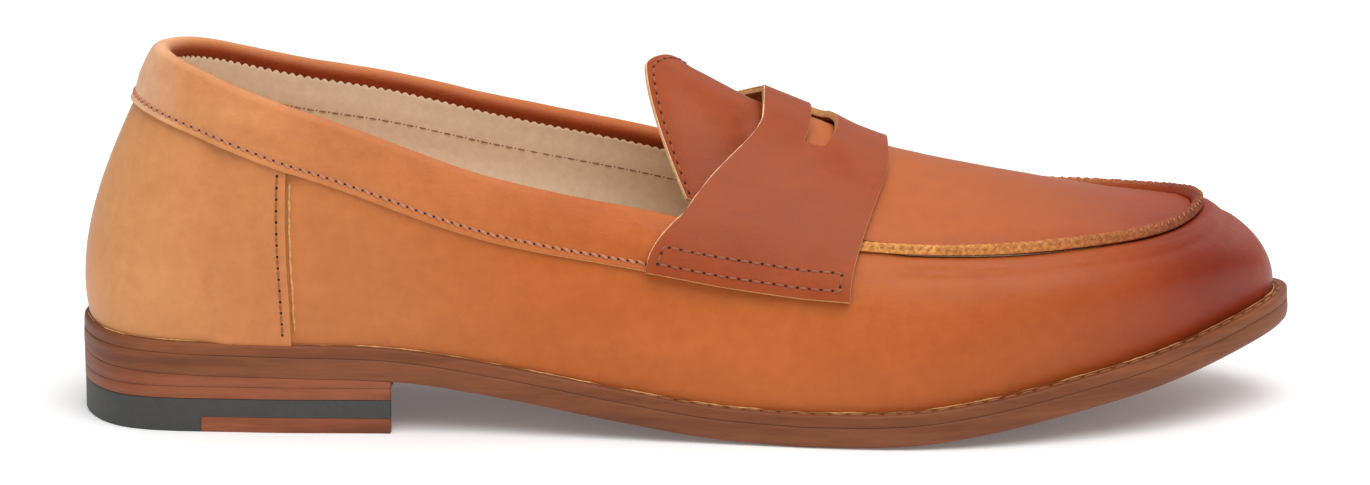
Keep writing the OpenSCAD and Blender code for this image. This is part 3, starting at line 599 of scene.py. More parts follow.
def materials(look):
    """Every material of the shoe, by name."""
    tan, mid, toe, dark = (tuple(value) for value in (
        look.counter_colour, look.vamp_colour, look.toe_colour, look.strap_colour))
    return {
        "vamp": leather("vamp_leather", [(0, mix_colour(tan, mid, 0.6)), (0.25, mid), (0.5, mid),
                                         (0.74, mix_colour(mid, toe, 0.4)), (0.92, toe)], 0.42,
                        burnish=((0.134, -0.022, 0.047), 0.033, (0.7, 0.52, 0.55))),
        # The counter lightens towards the heel's back: partly the leather's tone, partly a painted
        # highlight.
        "counter": leather("counter_leather", [(0, tan), (1, mix_colour(tan, mid, 0.5))], 0.46,
                           0.08, start=-0.14, end=-0.105),
        # The collar's first stop, pale pink at the heel's back, is a painted highlight; the later
        # stops are the leather's tone along the shoe.
        "collar": leather("collar_leather", [(0, mix_colour(tan, linear((250, 214, 184)), 0.6)),
                                             (0.13, mix_colour(tan, mid, 0.08)),
                                             (0.32, mix_colour(tan, mid, 0.5)),
                                             (0.6, mix_colour(tan, mid, 0.75)), (1, mid)],
                          0.5, 0.16, 2.2, start=-0.137, end=-0.02,
                          inside=([(0, mix_colour(mid, dark, 0.3)),
                                   (1, mix_colour(dark, toe, 0.6))], 0.56, 0.84)),
        "strap": leather("strap_leather", [(0, dark), (1, dark)], 0.42, 0.18),
        "edge": plain("cut_edge", (196, 142, 88), 0.75, 0.25, 900, 0.6),
        "flesh": plain("flesh_side", (176, 134, 92), 0.85, 0.12, 700, 0.5),
        "seam": leather("raw_seam_edge", [(at, linear(colour)) for at, colour in (
                            (0, (206, 146, 78)), (0.45, (190, 126, 66)), (0.85, (150, 86, 52)),
                            (1, (126, 66, 46)))],
                        0.7, 0.25, 3.0, 0.0, 0.045, 0.125, speckle=0.36),
        # The lip is the seam rope's underside; its dark colour is painted shade under the ridge.
        "lip_shade": plain("seam_lip_shade", (112, 48, 36), 0.5, 0.15, 260, 0.4),
        "lining": plain("lining_leather", (246, 220, 190), 0.7, 0.06, 420, 0.35),
        "fray": plain("frayed_edge", (206, 152, 94), 0.8, 0.3, 900, 0.6),
        "pale": plain("pale_cut_edge", (234, 194, 148), 0.75, 0.2, 900, 0.5),
        "drill": plain("lining_cloth", (214, 196, 164), 0.9, 0.08, 1500, 0.5),
        "sock": plain("sock_leather", (196, 160, 118), 0.65, 0.07, 350, 0.3),
        "sole": layered("sole_leather", (134, 78, 48), (108, 58, 36)),
        "rand": layered("rand_leather", (136, 78, 46), (110, 58, 34)),
        "heel": layered("heel_leather", (152, 86, 56), (114, 60, 38)),
        "rubber": plain("rubber", (62, 62, 60), 0.62, 0.12, 700, 0.35),
        "thread": plain("thread", (150, 104, 72), 0.7, 0.2, 1600, 0.5),
        "dark_thread": plain("dark_thread", (150, 92, 60), 0.7, 0.2, 1600, 0.5),
        "seam_thread": plain("seam_thread", (168, 108, 62), 0.7, 0.3, 1600, 0.5),
        "pink_thread": plain("pink_thread", (188, 126, 94), 0.7, 0.2, 1600, 0.5),
        "sole_thread": plain("sole_thread", (150, 98, 58), 0.75, 0.2, 1500, 0.5),
        # Needle holes are dark dots on the surface: painted shade standing in for the holes'
        # recesses.
        "hole": plain("needle_hole_shade", (44, 20, 14), 0.9, 0.1, 900, 0.2),
        "cork": plain("cork", (120, 84, 52), 0.9, 0.3, 500, 0.6),
        "board": plain("stiffener_board", (176, 158, 130), 0.9, 0.1, 600, 0.4),
        "steel": plain("steel", (150, 150, 150), 0.35, 0.05, 400, 0.1, metallic=1.0),
        "brass": plain("brass", (190, 150, 80), 0.35, 0.08, 400, 0.1, metallic=1.0),
        "insole": plain("insole_leather", (190, 154, 112), 0.75, 0.1, 400, 0.4),
    }


# ---------- settings ----------
def length_prop(name, description, millimetres, lo, hi):
    return FloatProperty(name=name, description=description, default=millimetres * MM,
                         min=lo * MM, max=hi * MM, unit="LENGTH", precision=4)


def colour_prop(name, description, display):
    return FloatVectorProperty(name=name, description=description, size=3, min=0, max=1,
                               subtype="COLOR", default=linear(display))


class LoaferSizes(bpy.types.PropertyGroup):
    """Sizes shared by every piece."""

    shoe_length: length_prop("Sole length", "Length of the sole, heel to toe", SOLE_LENGTH,
                             250, 340)
    ball_width: length_prop("Ball width", "Width of the sole across the ball", 101, 85, 120)
    heel_height: length_prop("Heel height", "Sole's underside above the floor at the heel",
                             15.6, 12, 20)
    toe_spring: length_prop("Toe spring", "Sole's underside above the floor at the toe",
                            20.8, 10, 28)
    toe_swing: length_prop("Toe swing", "Sideways swing of the toe tip", 6, 2, 10)
    outsole_th: length_prop("Outsole", "Thickness of the outsole", 5.2, 4, 7)
    rand_th: length_prop("Rand", "Thickness of the rand", 3, 2, 4)
    leather_th: length_prop("Upper leather", "Thickness of the upper leather", 1.2, 1, 1.6)
    strap_th: length_prop("Strap", "Thickness of the strap", 1.5, 1.2, 2)
    collar_w: length_prop("Collar", "Width of the collar band", 15.5, 12, 19)
    counter_length: length_prop("Counter", "Heel to the counter's seams", 53.8, 42, 62)
    ridge: length_prop("Seam ridge", "Height of the raised seam round the apron", 2.6, 1.2, 3.5)
    stitch_pitch: length_prop("Stitch pitch", "Distance from one stitch to the next", 3.2, 2.5, 4.5)


class LoaferLook(bpy.types.PropertyGroup):
    """Colours of the upper's leathers."""

    # The heel tan is the light tone at the heel's back: partly the leather's colour, partly a
    # painted highlight.
    counter_colour: colour_prop("Heel tan", "Leather at the heel", (213, 150, 96))
    vamp_colour: colour_prop("Vamp", "Leather at the side and instep", (185, 99, 42))
    toe_colour: colour_prop("Toe", "Burnished leather at the toe", (142, 50, 20))
    strap_colour: colour_prop("Strap", "Strap and tongue leather", (153, 67, 23))


class Kit:
    """What every operator needs: the last, the sizes in millimetres and the materials."""

    def __init__(self, context):
        self.sizes = context.scene.loafer_sizes
        self.last = Last(self.sizes)
        self.m = MATERIALS
        s = self.sizes
        self.leather_th = s.leather_th / MM
        self.strap_th = s.strap_th / MM
        self.collar_w = s.collar_w / MM
        self.counter_x = s.counter_length / MM
        self.pitch = s.stitch_pitch / MM
        self.ridge = s.ridge / MM
        self.strap_x = 0.6113 * self.last.length
        self.strap_end_x = 0.55 * self.last.length
        self.collar_end = 0.525 * self.last.length
        self.split = self.strap_x - 10.5

    def under_collar(self, x):
        """How far the collar stands off the last, over the counter's lap."""
        return GAP + (self.leather_th + GAP) * smooth((x - self.counter_x + 19) / 5) * (
            1 - smooth((x - self.counter_x - 1.5) / 6))


# ---------- sole unit ----------
def axis_of(last, p, reach=0.09):
    """The line inside the sole that its flat faces run in to."""
    t = last.side(p)[0]
    x = mix(reach * last.length, (1 - reach) * last.length, (1 - np.cos(np.pi * t)) / 2)
    t_at_x = last.t_along(x / last.length)
    y = (last.sole_edge(t_at_x)[:, 1] + last.sole_edge(2 - t_at_x)[:, 1]) / 2
    return xyz(x, y, 0)


def sole_layer(kit, profile, count=420, heel_insets=None):
    """A closed slab of the sole from (inset, share of the ledge, dz) rings, top to bottom. The
    heel_insets are the rings' insets over the heel."""
    last = kit.last
    p = np.arange(count) * 2 / count
    front = smooth((last.sole_edge(p)[:, 0] - 74) / 14)
    heel_insets = heel_insets or [inset for inset, _, _ in profile]
    rings = [last.sole_point(p, mix(heel, inset, front), dz, share)
             for (inset, share, dz), heel in zip(profile, heel_insets)]
    ends = (profile[0][2], profile[-1][2])
    return closed_mesh(last, filled(rings, axis_of(last, p), lambda x, e: last.seat(x) + ends[e]),
                       1e-5)


def build_outsole(kit):
    th = kit.last.rand_th + kit.sizes.outsole_th / MM
    top = -kit.last.rand_th
    profile = [(5, 0, top - 0.02), (1.3, 0, top - 0.02), (0.3, 0, top - 0.03), (0.2, 0, top - 0.08),
               (0.1, 0, top - 0.9), (0.0, 0, top - 2.4), (0.05, 0, top - 3.6),
               (0.3, 0, top - 4.5), (0.9, 0, 0.12 - th), (1.8, 0, -th), (5, 0, -th)]
    heel = [5, 1.3, 0.34, 0.22, 0.1, 0.06, 0.08, 0.1, 0.14, 0.3, 5]
    finish_mesh("outsole_leather", sole_layer(kit, profile, heel_insets=heel), [kit.m["sole"]],
                SHOE, ["outsole"])


def build_rand(kit):
    last = kit.last
    low = -last.rand_th + 0.02
    profile = [(0.02, 1, 0.02), (-0.5, 1, 0.0), (1.5, 0.2, -0.02), (1.0, 0, -0.04),
               (0.55, 0, -0.22), (0.3, 0, -0.6), (0.22, 0, -1.4), (0.18, 0, -2.3),
               (0.17, 0, -2.8), (0.26, 0, low + 0.03), (1.2, 0, low), (0.02, 1, low)]
    p = np.arange(420) * 2 / 420
    rings = np.array([last.sole_point(p, np.full(420, float(i)), dz, share)
                      for i, share, dz in profile])
    finish_mesh("rand_leather", closed_mesh(last, np.concatenate([rings, rings[:1]]), 1e-5),
                [kit.m["rand"]], SHOE, ["rand"])


def build_sole_stitches(kit):
    last = kit.last
    p = np.linspace(0.476, 1.524, 600)
    path = last.sole_point(p, np.full(p.shape, 0.35), 0.0, 0.5)
    up = np.tile([0.0, 0, 1], (len(p), 1))
    sew(last, "sole_stitches", [(path, up)], kit.m["sole_thread"], kit.m["hole"], SHOE,
        ["sole_stitching"], pitch=4.2, width=0.7, cover=0.8, lift=-0.08, pit=0.5)
    p = np.linspace(0.02, 1.98, 2400)
    path = last.sole_point(p, np.full(p.shape, -0.42), 0.16, 1)
    out = xyz(*last.edge_out(p).T, 1.0)
    cord(last, "rand_frayed_edge", [(path, out)], 0.42, kit.m["fray"], SHOE, (),
         7.0, 1.0)


def heel_loop(kit, length, bow, inset=0.0, count=220):
    """The heel's plan: round the back, then across the breast."""
    last = kit.last
    edge = last.t_along(np.array(length / last.length))
    p = np.linspace(float(edge), -float(edge), count)
    round_back = last.sole_edge(p)
    round_back[:, 0] = np.minimum(round_back[:, 0], length)
    y = np.linspace(round_back[-1, 1], round_back[0, 1], 42)[1:-1]
    breast = np.stack([length - bow * (1 - (y / y.max())**2), y], -1)
    loop = np.concatenate([round_back, breast])
    step = np.roll(loop, -2, 0) - np.roll(loop, 2, 0)
    out = unit(np.stack([-step[:, 1], step[:, 0]], -1))
    mid = loop.mean(0)
    out *= np.sign(((loop - mid) * out).sum())
    return loop - inset * out


def heel_layer(kit, name, low, high, material, node, inset=0.3, edge=0.35):
    """A lift of the heel between two height functions of x."""
    length = 78.0
    steps = [(4, 1, 0), (edge, 1, 0), (0.3 * edge, 1, -0.3 * edge), (0, 1, -edge), (0, 0, edge),
             (0.3 * edge, 0, 0.3 * edge), (edge, 0, 0), (4, 0, 0)]
    rings = []
    for extra, top, dz in steps:
        loop = heel_loop(kit, length, 2.5, inset + extra)
        z = (high if top else low)(loop[:, 0]) + dz
        rings.append(xyz(loop[:, 0], loop[:, 1], z))
    base = rings[0]
    axis = xyz(np.clip(base[:, 0], 24, 60), 0, 0)
    rings = filled(rings, axis, lambda x, e: (low if e else high)(x))
    return finish_mesh(name, closed_mesh(kit.last, rings, 1e-5), [material], SHOE, [node])


def build_heel(kit):
    last = kit.last
    def level(z):
        return lambda x: np.full(np.shape(x), float(z))
    heel_layer(kit, "heel_lift_wedge", level(11.42), lambda x: last.sole_bottom(x) - 0.02,
               kit.m["heel"], "heel_lift_upper", 0.15, 0.12)
    heel_layer(kit, "heel_lift_level", level(8.42), level(11.38), kit.m["heel"],
               "heel_lift_lower", 0.2, 0.12)
    rubber = heel_layer(kit, "heel_top_piece", level(0), level(8.38), kit.m["rubber"],
                        "top_piece", 0.28, 0.25)
    insert = heel_layer(kit, "heel_top_insert", level(0), level(3.8), kit.m["heel"],
                        "top_piece_insert", 0.3, 0.15)
    for obj, keep_front in ((rubber, False), (insert, True)):
        cut_insert(kit, obj, keep_front)


def cut_insert(kit, obj, keep_front):
    """Cuts the insert's pocket out of the top piece, or the insert's back edge."""
    y = np.linspace(-48, 48, 41)
    curve_x = 32 - 5 * (1 - np.clip(np.abs(y) / 33.5, 0, 1)**2) + (0.06 if keep_front else 0)
    far = np.full(y.shape, 120.0 if not keep_front else -20.0)
    top = 3.86 if not keep_front else 12.0
    corners = [xyz(curve_x, y, -5), xyz(curve_x, y, top), xyz(far, y, top), xyz(far, y, -5)]
    bm = grid_mesh(kit.last, np.array(corners + corners[:1]))
    bmesh.ops.remove_doubles(bm, verts=bm.verts, dist=1e-6)
    ends = [[v for v in bm.verts if abs(v.co.y - kit.last.place([0, s, 0])[1]) < 1e-5]
            for s in (-48, 48)]
    for end in ends:
        bmesh.ops.contextual_create(bm, geom=end)
    bmesh.ops.recalc_face_normals(bm, faces=bm.faces)
    mesh = bpy.data.meshes.new("cutter")
    bm.to_mesh(mesh)
    bm.free()
    cutter = bpy.data.objects.new("cutter", mesh)
    bpy.context.scene.collection.objects.link(cutter)
    cut = obj.modifiers.new("Pocket", "BOOLEAN")
    cut.operation = "DIFFERENCE"
    cut.solver = "EXACT"
    cut.object = cutter
    bpy.context.view_layer.objects.active = obj
    bpy.ops.object.modifier_apply(modifier=cut.name)
    bpy.data.objects.remove(cutter)
    obj.data.shade_smooth()
    sharp = obj.modifiers.new("Sharp", "EDGE_SPLIT")
    sharp.split_angle = SHARP


# ---------- upper ----------
def foot_rows(last, p, out):
    """Rows under the wall's first row, tucked in below the insole."""
    return [last.sole_point(p, np.full(p.shape, float(i)), z) if share == 0 else
            last.sole_point(p, np.full(p.shape, float(i)) - out, z, 1)
            for i, z, share in ((4.0, -1.6, 1), (0.8, -1.2, 1), (0.12, -0.6, 1))]


def leather_move(points, normals, amount=0.16, scale=0.045, seed=3.0):
    """Slight unevenness of lasted leather."""
    return points + normals * (amount * wave(points, scale, seed)
                               + 0.3 * amount * wave(points, scale * 4, seed + 9))[..., None]


def vamp_top(kit, x, p):
    return mix(kit.last.drop_v(p, 9.0), 0.966, smooth((x - kit.collar_end - 1) / 8))


def build_vamp(kit):
    last = kit.last
    c = np.linspace(-1, 1, 561)
    rows = np.linspace(0, 1, 72)
    top_p = 1 + c * (1 - 0.86 * last.t_at(kit.counter_x, 1.0))
    x = last.top_x(last.side(top_p)[0])
    top = vamp_top(kit, x, 1 + c * (1 - 0.86 * last.t_at(kit.counter_x, 0.85)))
    v = rows[:, None] * top[None, :]
    p = 1 + c[None, :] * (1 - 0.86 * last.t_at(kit.counter_x, v))
    n = last.wall_out(p, v)
    points = leather_move(last.wall(p, v), n, 0.14)
    drop = np.linalg.norm(points - last.top_edge(p), axis=-1)
    front = smooth((last.wall(p, v)[..., 0] - kit.strap_x - 14) / 8)
    roll = np.exp(-((drop - 4.6) / 2.6)**2) * 0.42 - np.exp(-((drop - 8.6) / 1.5)**2) * 0.22
    arc = np.cumsum(np.r_[0, np.linalg.norm(np.diff(last.top_edge(top_p), axis=0), axis=1)])
    arc = np.broadcast_to(arc, v.shape)
    lines = wave(xyz(arc * 0.05, drop * 1.25, 0), 1.0, 5.0) + 0.6 * wave(
        xyz(arc * 0.14, drop * 2.4, 0), 1.0, 15.0)
    fine = 0.24 * lines * np.exp(-((drop - 5.2) / 2.8)**2)
    pull = 0.10 * wave(xyz(arc * 0.7, drop * 0.12, 0), 1.0, 25.0) * np.exp(-drop / 5)
    tuck = -0.9 * smooth((3.4 - drop) / 2.2)
    points = points + n * (front * (roll + fine + pull + tuck))[..., None]
    points = np.concatenate([np.array(foot_rows(last, p[0], 0.0)), points])
    sheet(last, "vamp_leather", points, kit.leather_th,
          [kit.m["vamp"], kit.m["edge"], kit.m["flesh"]], SHOE, ["vamp"], 0.25)


def build_counter(kit):
    last = kit.last
    c = np.linspace(-1, 1, 260)
    rows = np.linspace(0, 1, 70)
    top = last.drop_v(c * last.t_at(kit.counter_x, 0.8), 9.0)
    v = rows[:, None] * top[None, :]
    p = c[None, :] * last.t_at(kit.counter_x, v)
    lap = (kit.leather_th + GAP) * smooth((np.abs(c) - 0.74) / 0.1)
    n = last.wall_out(p, v)
    points = leather_move(last.wall(p, v), n, 0.12) + n * lap[None, :, None]
    points = np.concatenate([np.array(foot_rows(last, p[0], lap * 0.7)), points])
    sheet(last, "counter_leather", points, kit.leather_th,
          [kit.m["counter"], kit.m["edge"], kit.m["flesh"]], SHOE, ["counter"],
          0.3)
    runs, frays = [], []
    for side in (-1, 1):
        v = np.linspace(0.05, float(last.drop_v(side * last.t_at(kit.counter_x, 0.8), 17.0)), 60)
        p = side * last.t_at(kit.counter_x - 2.0, v)
        n = last.wall_out(p, v)
        runs.append((last.wall(p, v) + n * (kit.leather_th + 0.12), n))
        fine = np.linspace(v[0], v[-1], 240)
        p = side * last.t_at(kit.counter_x + 0.9, fine)
        frays.append((last.wall(p, fine) + last.wall_out(p, fine) * 0.2, last.wall_out(p, fine)))
    sew(last, "counter_stitches", runs, kit.m["dark_thread"], kit.m["hole"], SHOE,
        ["counter_stitching"], pitch=kit.pitch * 0.85, width=0.6)
    cord(last, "counter_frayed_edge", frays, 0.62, kit.m["fray"], SHOE, (), 2.0)


def collar_points(kit, p, fold=6.0):
    """Rows of the collar's outer face, from its lower edge over the roll and down inside."""
    last = kit.last
    x = last.top_x(last.side(p)[0])
    r = (ROLL_IN + GAP + COLLAR_TH) / 2
    low, high = last.drop_v(p, kit.collar_w), last.drop_v(p, np.full(p.shape, r))
    out = []
    for f in np.linspace(0, 1, 16)[:-1]:
        v = mix(low, high, f)
        lift = mix(kit.under_collar(x), GAP, smooth(f * 2 - 0.9)) + COLLAR_TH
        puff = 0.5 * smooth((f - 0.22) / 0.3) * smooth((1.25 - f) / 0.5)
        pinch = -0.42 * np.exp(-((f - 0.14) / 0.055)**2)
        out.append(last.skin(p, v, lift + puff + pinch))
    base, n, up = last.wall(p, high), last.wall_out(p, high), last.wall_up(p, high)
    for a in np.radians(np.arange(0, 181, 12)):
        puff = 0.25 * smooth((math.cos(a) + 0.2) / 1.2)
        out.append(base + n * (r - ROLL_IN + (r + puff) * math.cos(a)) + up * r * math.sin(a))
    for k in np.linspace(0, 1, 7)[1:]:
        out.append(last.skin(p, last.drop_v(p, r + k * fold), np.full(p.shape, -ROLL_IN)))
    return np.array(out)


def build_collar(kit):
    last = kit.last
    end = float(last.top_t(kit.collar_end))
    p = np.linspace(-end, end, 520)
    points = collar_points(kit, p)
    centre = points.mean(0, keepdims=True)
    crease = 0.13 * wave(points, 0.06, 31.0) + 0.06 * wave(points * [0.5, 1, 1], 0.3, 41.0)
    points = points + crease[..., None] * unit(points - centre)
    sheet(last, "collar_leather", points, 1.05, [kit.m["collar"], kit.m["edge"], kit.m["flesh"]],
          SHOE, ["collar", "collar_padding"], 0.22,
          outward=points[len(points) // 4, len(p) // 2] - points[-1, len(p) // 2])
    reach = float(last.top_t(kit.strap_end_x - 18))
    p = np.linspace(-reach, reach, 700)
    x = last.top_x(last.side(p)[0])
    v = last.drop_v(p, kit.collar_w - 1.8)
    n = last.wall_out(p, v)
    path = last.wall(p, v) + n * (kit.under_collar(x) + COLLAR_TH - 0.28)[:, None]
    sew(last, "collar_stitches", [(path, n)], kit.m["pink_thread"], kit.m["hole"], SHOE,
        ["collar_stitching"], pitch=kit.pitch * 0.72, width=0.85, cover=0.95, pit=0.62,
        slant=-0.42)


def lining_offset(kit, p, v):
    """The lining's outer face off the last: it steps in to lie inside the collar's fold."""
    last = kit.last
    a, b = last.drop_v(p, kit.collar_w + 6), last.drop_v(p, np.full(np.shape(p), 9.0))
    return mix(-2.5, -ROLL_IN - 0.12, smooth((v - a) / (b - a)))


def build_quarter_lining(kit):
    last = kit.last
    reach = float(last.top_t(kit.split + 5))
    p = np.linspace(-reach, reach, 1000)
    x = last.top_x(last.side(p)[0])
    edge = last.top_edge(p)
    arc = np.cumsum(np.r_[0, np.linalg.norm(np.diff(edge, axis=0), axis=1)])
    pinked = 0.8 * np.abs(np.sin(np.pi * arc / 2.1))
    behind = 1 - smooth((x - kit.collar_end - 1) / 6)
    top = last.drop_v(p, mix(1.0, 4.3 - pinked, behind))
    v = np.linspace(0.01, 1, 40)[:, None]**0.85 * top[None, :]
    pp = np.broadcast_to(p, v.shape)
    points = last.skin(pp, v, lining_offset(kit, pp, v) - LINING_TH)
    points = leather_move(points, last.wall_out(pp, v), 0.2, 0.05, 8.0)
    points = np.concatenate([np.array(foot_rows(last, p, -3.2)[1:]), points])
    sheet(last, "quarter_lining_leather", points, 0.65,
          [kit.m["lining"], kit.m["flesh"], kit.m["flesh"]], SHOE, ["quarter_lining"],
          0.15, outward=-away(points))
    reach = float(last.top_t(kit.collar_end - 4))
    p = np.linspace(-reach, reach, 500)
    v = last.drop_v(p, 12.6)
    n = -last.wall_out(p, v)
    path = last.skin(p, v, lining_offset(kit, p, v) - LINING_TH)
    sew(last, "lining_stitches", [(path, n)], kit.m["thread"], kit.m["hole"], SHOE, (),
        pitch=kit.pitch, width=0.42, cover=0.6, pit=0.42)


def build_vamp_lining(kit):
    last = kit.last
    t = np.r_[np.linspace(float(last.top_t(kit.split + 5)) + 0.003, 0.9, 60),
              np.linspace(0.905, 0.98, 26)]
    v = np.linspace(0.02, 1, 26)
    q = np.linspace(0.03, 0.97, 44)
    deep = -3.2 - 2.2 * smooth((t - 0.9) / 0.06)
    rows = [last.skin(np.full(v.shape, a), v, np.full(v.shape, d)) for a, d in zip(t, deep)]
    over = []
    for a, d in zip(t, deep):
        x = np.full(q.shape, float(last.top_x(a)))
        down = unit(mix(last.arch_out(x, q), UP, smooth((a - 0.84) / 0.05)))
        over.append(last.arch(x, q) + d * down)
    back = [last.skin(np.full(v.shape, 2 - a), v, np.full(v.shape, d))[::-1]
            for a, d in zip(t, deep)]
    points = np.array([np.concatenate(r) for r in zip(rows, over, back)])
    sheet(last, "vamp_lining_cloth", points, 0.65, [kit.m["drill"]] * 3, SHOE, ["vamp_lining"],
          0.15, outward=-away(points))


def build_apron(kit):
    last = kit.last
    t = np.r_[np.linspace(float(last.top_t(kit.split + 1.5)), 0.93, 225),
              np.linspace(0.9325, 0.962, 24)]
    x = last.top_x(t)
    width = np.linalg.norm(last.top_edge(t) - last.top_edge(2 - t), axis=-1)
    inset = np.clip(1.0 / width, 0, 0.4)
    k = np.linspace(0, 1, 150)
    q = inset[:, None] + (1 - 2 * inset[:, None]) * k[None, :]
    xx = np.broadcast_to(x[:, None], q.shape)
    n = unit(mix(last.arch_out(xx, q), UP, smooth((t - 0.85) / 0.06)[:, None, None]))
    edge = np.minimum(q, 1 - q) * width[:, None]
    toe = (float(last.top_front) - xx) * 1.0
    near = np.minimum(edge, np.maximum(toe, 0) * 1.1)
    front = smooth((xx - kit.strap_x - 14) / 30)
    sink = -front * 1.3 * np.exp(-near / 3.2)
    pull = 0.32 * wave(xyz(xx * 0.62, edge * 0.08, 0), 1.0, 45.0) * np.exp(-near / 3.6) * (
        smooth((xx - kit.strap_x - 12) / 6))
    wrinkle = 0.10 * wave(xyz(xx * 0.16, xx * 0 + q * 4, 0), 1.0, 55.0)
    points = last.arch(xx, q) + n * (sink + pull + wrinkle)[..., None]
    sheet(last, "apron_leather", points, kit.leather_th,
          [kit.m["vamp"], kit.m["edge"], kit.m["flesh"]], SHOE, ["apron"], 0.2)


def build_seam(kit):
    """The raised seam: a rope of raw edges standing round the apron, over a lip of painted shade.
    """
    last = kit.last
    start = float(last.top_t(kit.strap_x + 4))
    p = np.linspace(start, 2 - start, 1600)
    e = last.top_edge(p)
    n = last.wall_out(p, 0.985)
    n = unit(n + np.array([0, 0, 0.45]))
    along = unit(np.gradient(e, axis=0))
    g = np.cross(n, along)
    inside = np.array([230.0, 2.0, 0]) - e
    g *= np.sign((g * inside).sum(-1, keepdims=True))
    x = last.top_x(last.side(p)[0])
    rise = (kit.ridge / 2.6) * mix(0.6, 0.8, smooth((x - kit.strap_x - 16) / 45)) * mix(
        0.15, 1.0, smooth((x - kit.strap_x - 5) / 6))
    arc = np.cumsum(np.r_[0, np.linalg.norm(np.diff(e, axis=0), axis=1)])
    shape = [(0.5, -1.6), (0.5, 0.0), (0.35, 1.4), (-0.05, 2.35), (-0.5, 2.8), (-1.0, 2.75),
             (-1.45, 2.35), (-1.8, 1.8), (-2.05, 1.2), (-2.3, 0.8), (-2.4, 0.35), (-2.25, -0.1),
             (-1.9, -0.6), (-1.2, -1.4), (-0.4, -1.7)]
    rings = np.array([e + g * a + n * (b * rise)[:, None] for a, b in shape])
    middle = rings.mean(0, keepdims=True)
    raw = np.array([0, 0, 0.1, 0.4, 1, 1, 1, 1, 0.7, 0.35, 0.2, 0, 0, 0, 0])[:, None]
    arcs = np.broadcast_to(arc, rings.shape[:2])
    around = np.arange(len(shape))[:, None] * np.ones_like(arcs)
    rough = 0.2 * wave(xyz(arcs * 0.9, around * 0.55, 0), 1.0, 61.0) + 0.2 * wave(
        xyz(arcs * 1.9, around * 0.9, 0), 1.0, 71.0)
    lay = 0.10 * np.sin(2 * np.pi * (arcs / 2.1 + around * 0.09))
    rings = rings + unit(rings - middle) * ((rough + lay) * raw)[..., None]
    bm = grid_mesh(last, np.concatenate([rings, rings[:1]]))
    bmesh.ops.remove_doubles(bm, verts=bm.verts, dist=1e-6)
    for end in (0, -1):
        ends = last.place(rings[:, end])
        verts = [min(bm.verts, key=lambda v, c=c: (v.co - Vector(c)).length) for c in ends]
        bm.faces.new(verts)
    bmesh.ops.recalc_face_normals(bm, faces=bm.faces)
    uv = bm.loops.layers.uv["UVMap"]
    for face in bm.faces:
        row = sum(loop[uv].uv.y for loop in face.loops) / len(face.loops) * len(shape)
        # Faces on the rope's underside take the lip's painted shade.
        face.material_index = 2 if row < 2.4 else 1 if row > 9.6 else 0
    finish_mesh("moccasin_seam", bm, [kit.m["seam"], kit.m["lip_shade"], kit.m["vamp"]], SHOE, ())
    sewn = e + g * -1.35 + n * (2.42 * rise)[:, None]
    sew(last, "seam_stitches", [(sewn, n)], kit.m["seam_thread"], kit.m["hole"], SHOE,
        ["apron_stitching"], pitch=2.3, width=0.5, cover=0.85, lift=0.0, pit=0, slant=0.8)


# ---------- strap and tongue ----------
def strap_x_at(kit, s, u):
    flare = smooth((np.abs(2 * s - 1) - 0.2) / 0.8)
    return mix(kit.strap_x, kit.strap_end_x, flare) + (u - 0.5) * mix(31.0, 49.0, flare)


def strap_surface(kit, s, u, off):
    """Point of the strap's under face plus off: s runs across the instep, u along the shoe."""
    last = kit.last
    x = strap_x_at(kit, s, u)
    near, far = s < WALL_SHARE, s > 1 - WALL_SHARE
    side = np.where(near, 1.0, -1.0)
    k = np.clip(np.where(near, 1 - s / WALL_SHARE, (s - 1 + WALL_SHARE) / WALL_SHARE), 0, 1)
    v = last.drop_v(side * last.top_t(x), k * 16.4)
    v = np.where(k > 0, v, 1.0)
    t = last.t_at(x, v)
    lift = off + 0.5 + 0.8 * (1 - smooth((u - 0.45) * 3))
    wall = last.skin(side * t, v, lift)
    q = np.clip((s - WALL_SHARE) / (1 - 2 * WALL_SHARE), 0.0, 1.0)
    over = last.roof(x, q, lift)
    return np.where((near | far)[..., None], wall, over)


def strap_blended(kit, s, u, off):
    """The strap's surface with the step where wall and instep meet eased away."""
    w = 0.012
    return sum(strap_surface(kit, np.clip(s + d, 0, 1), u, off) * f
               for d, f in ((-w, 0.25), (0.0, 0.5), (w, 0.25)))


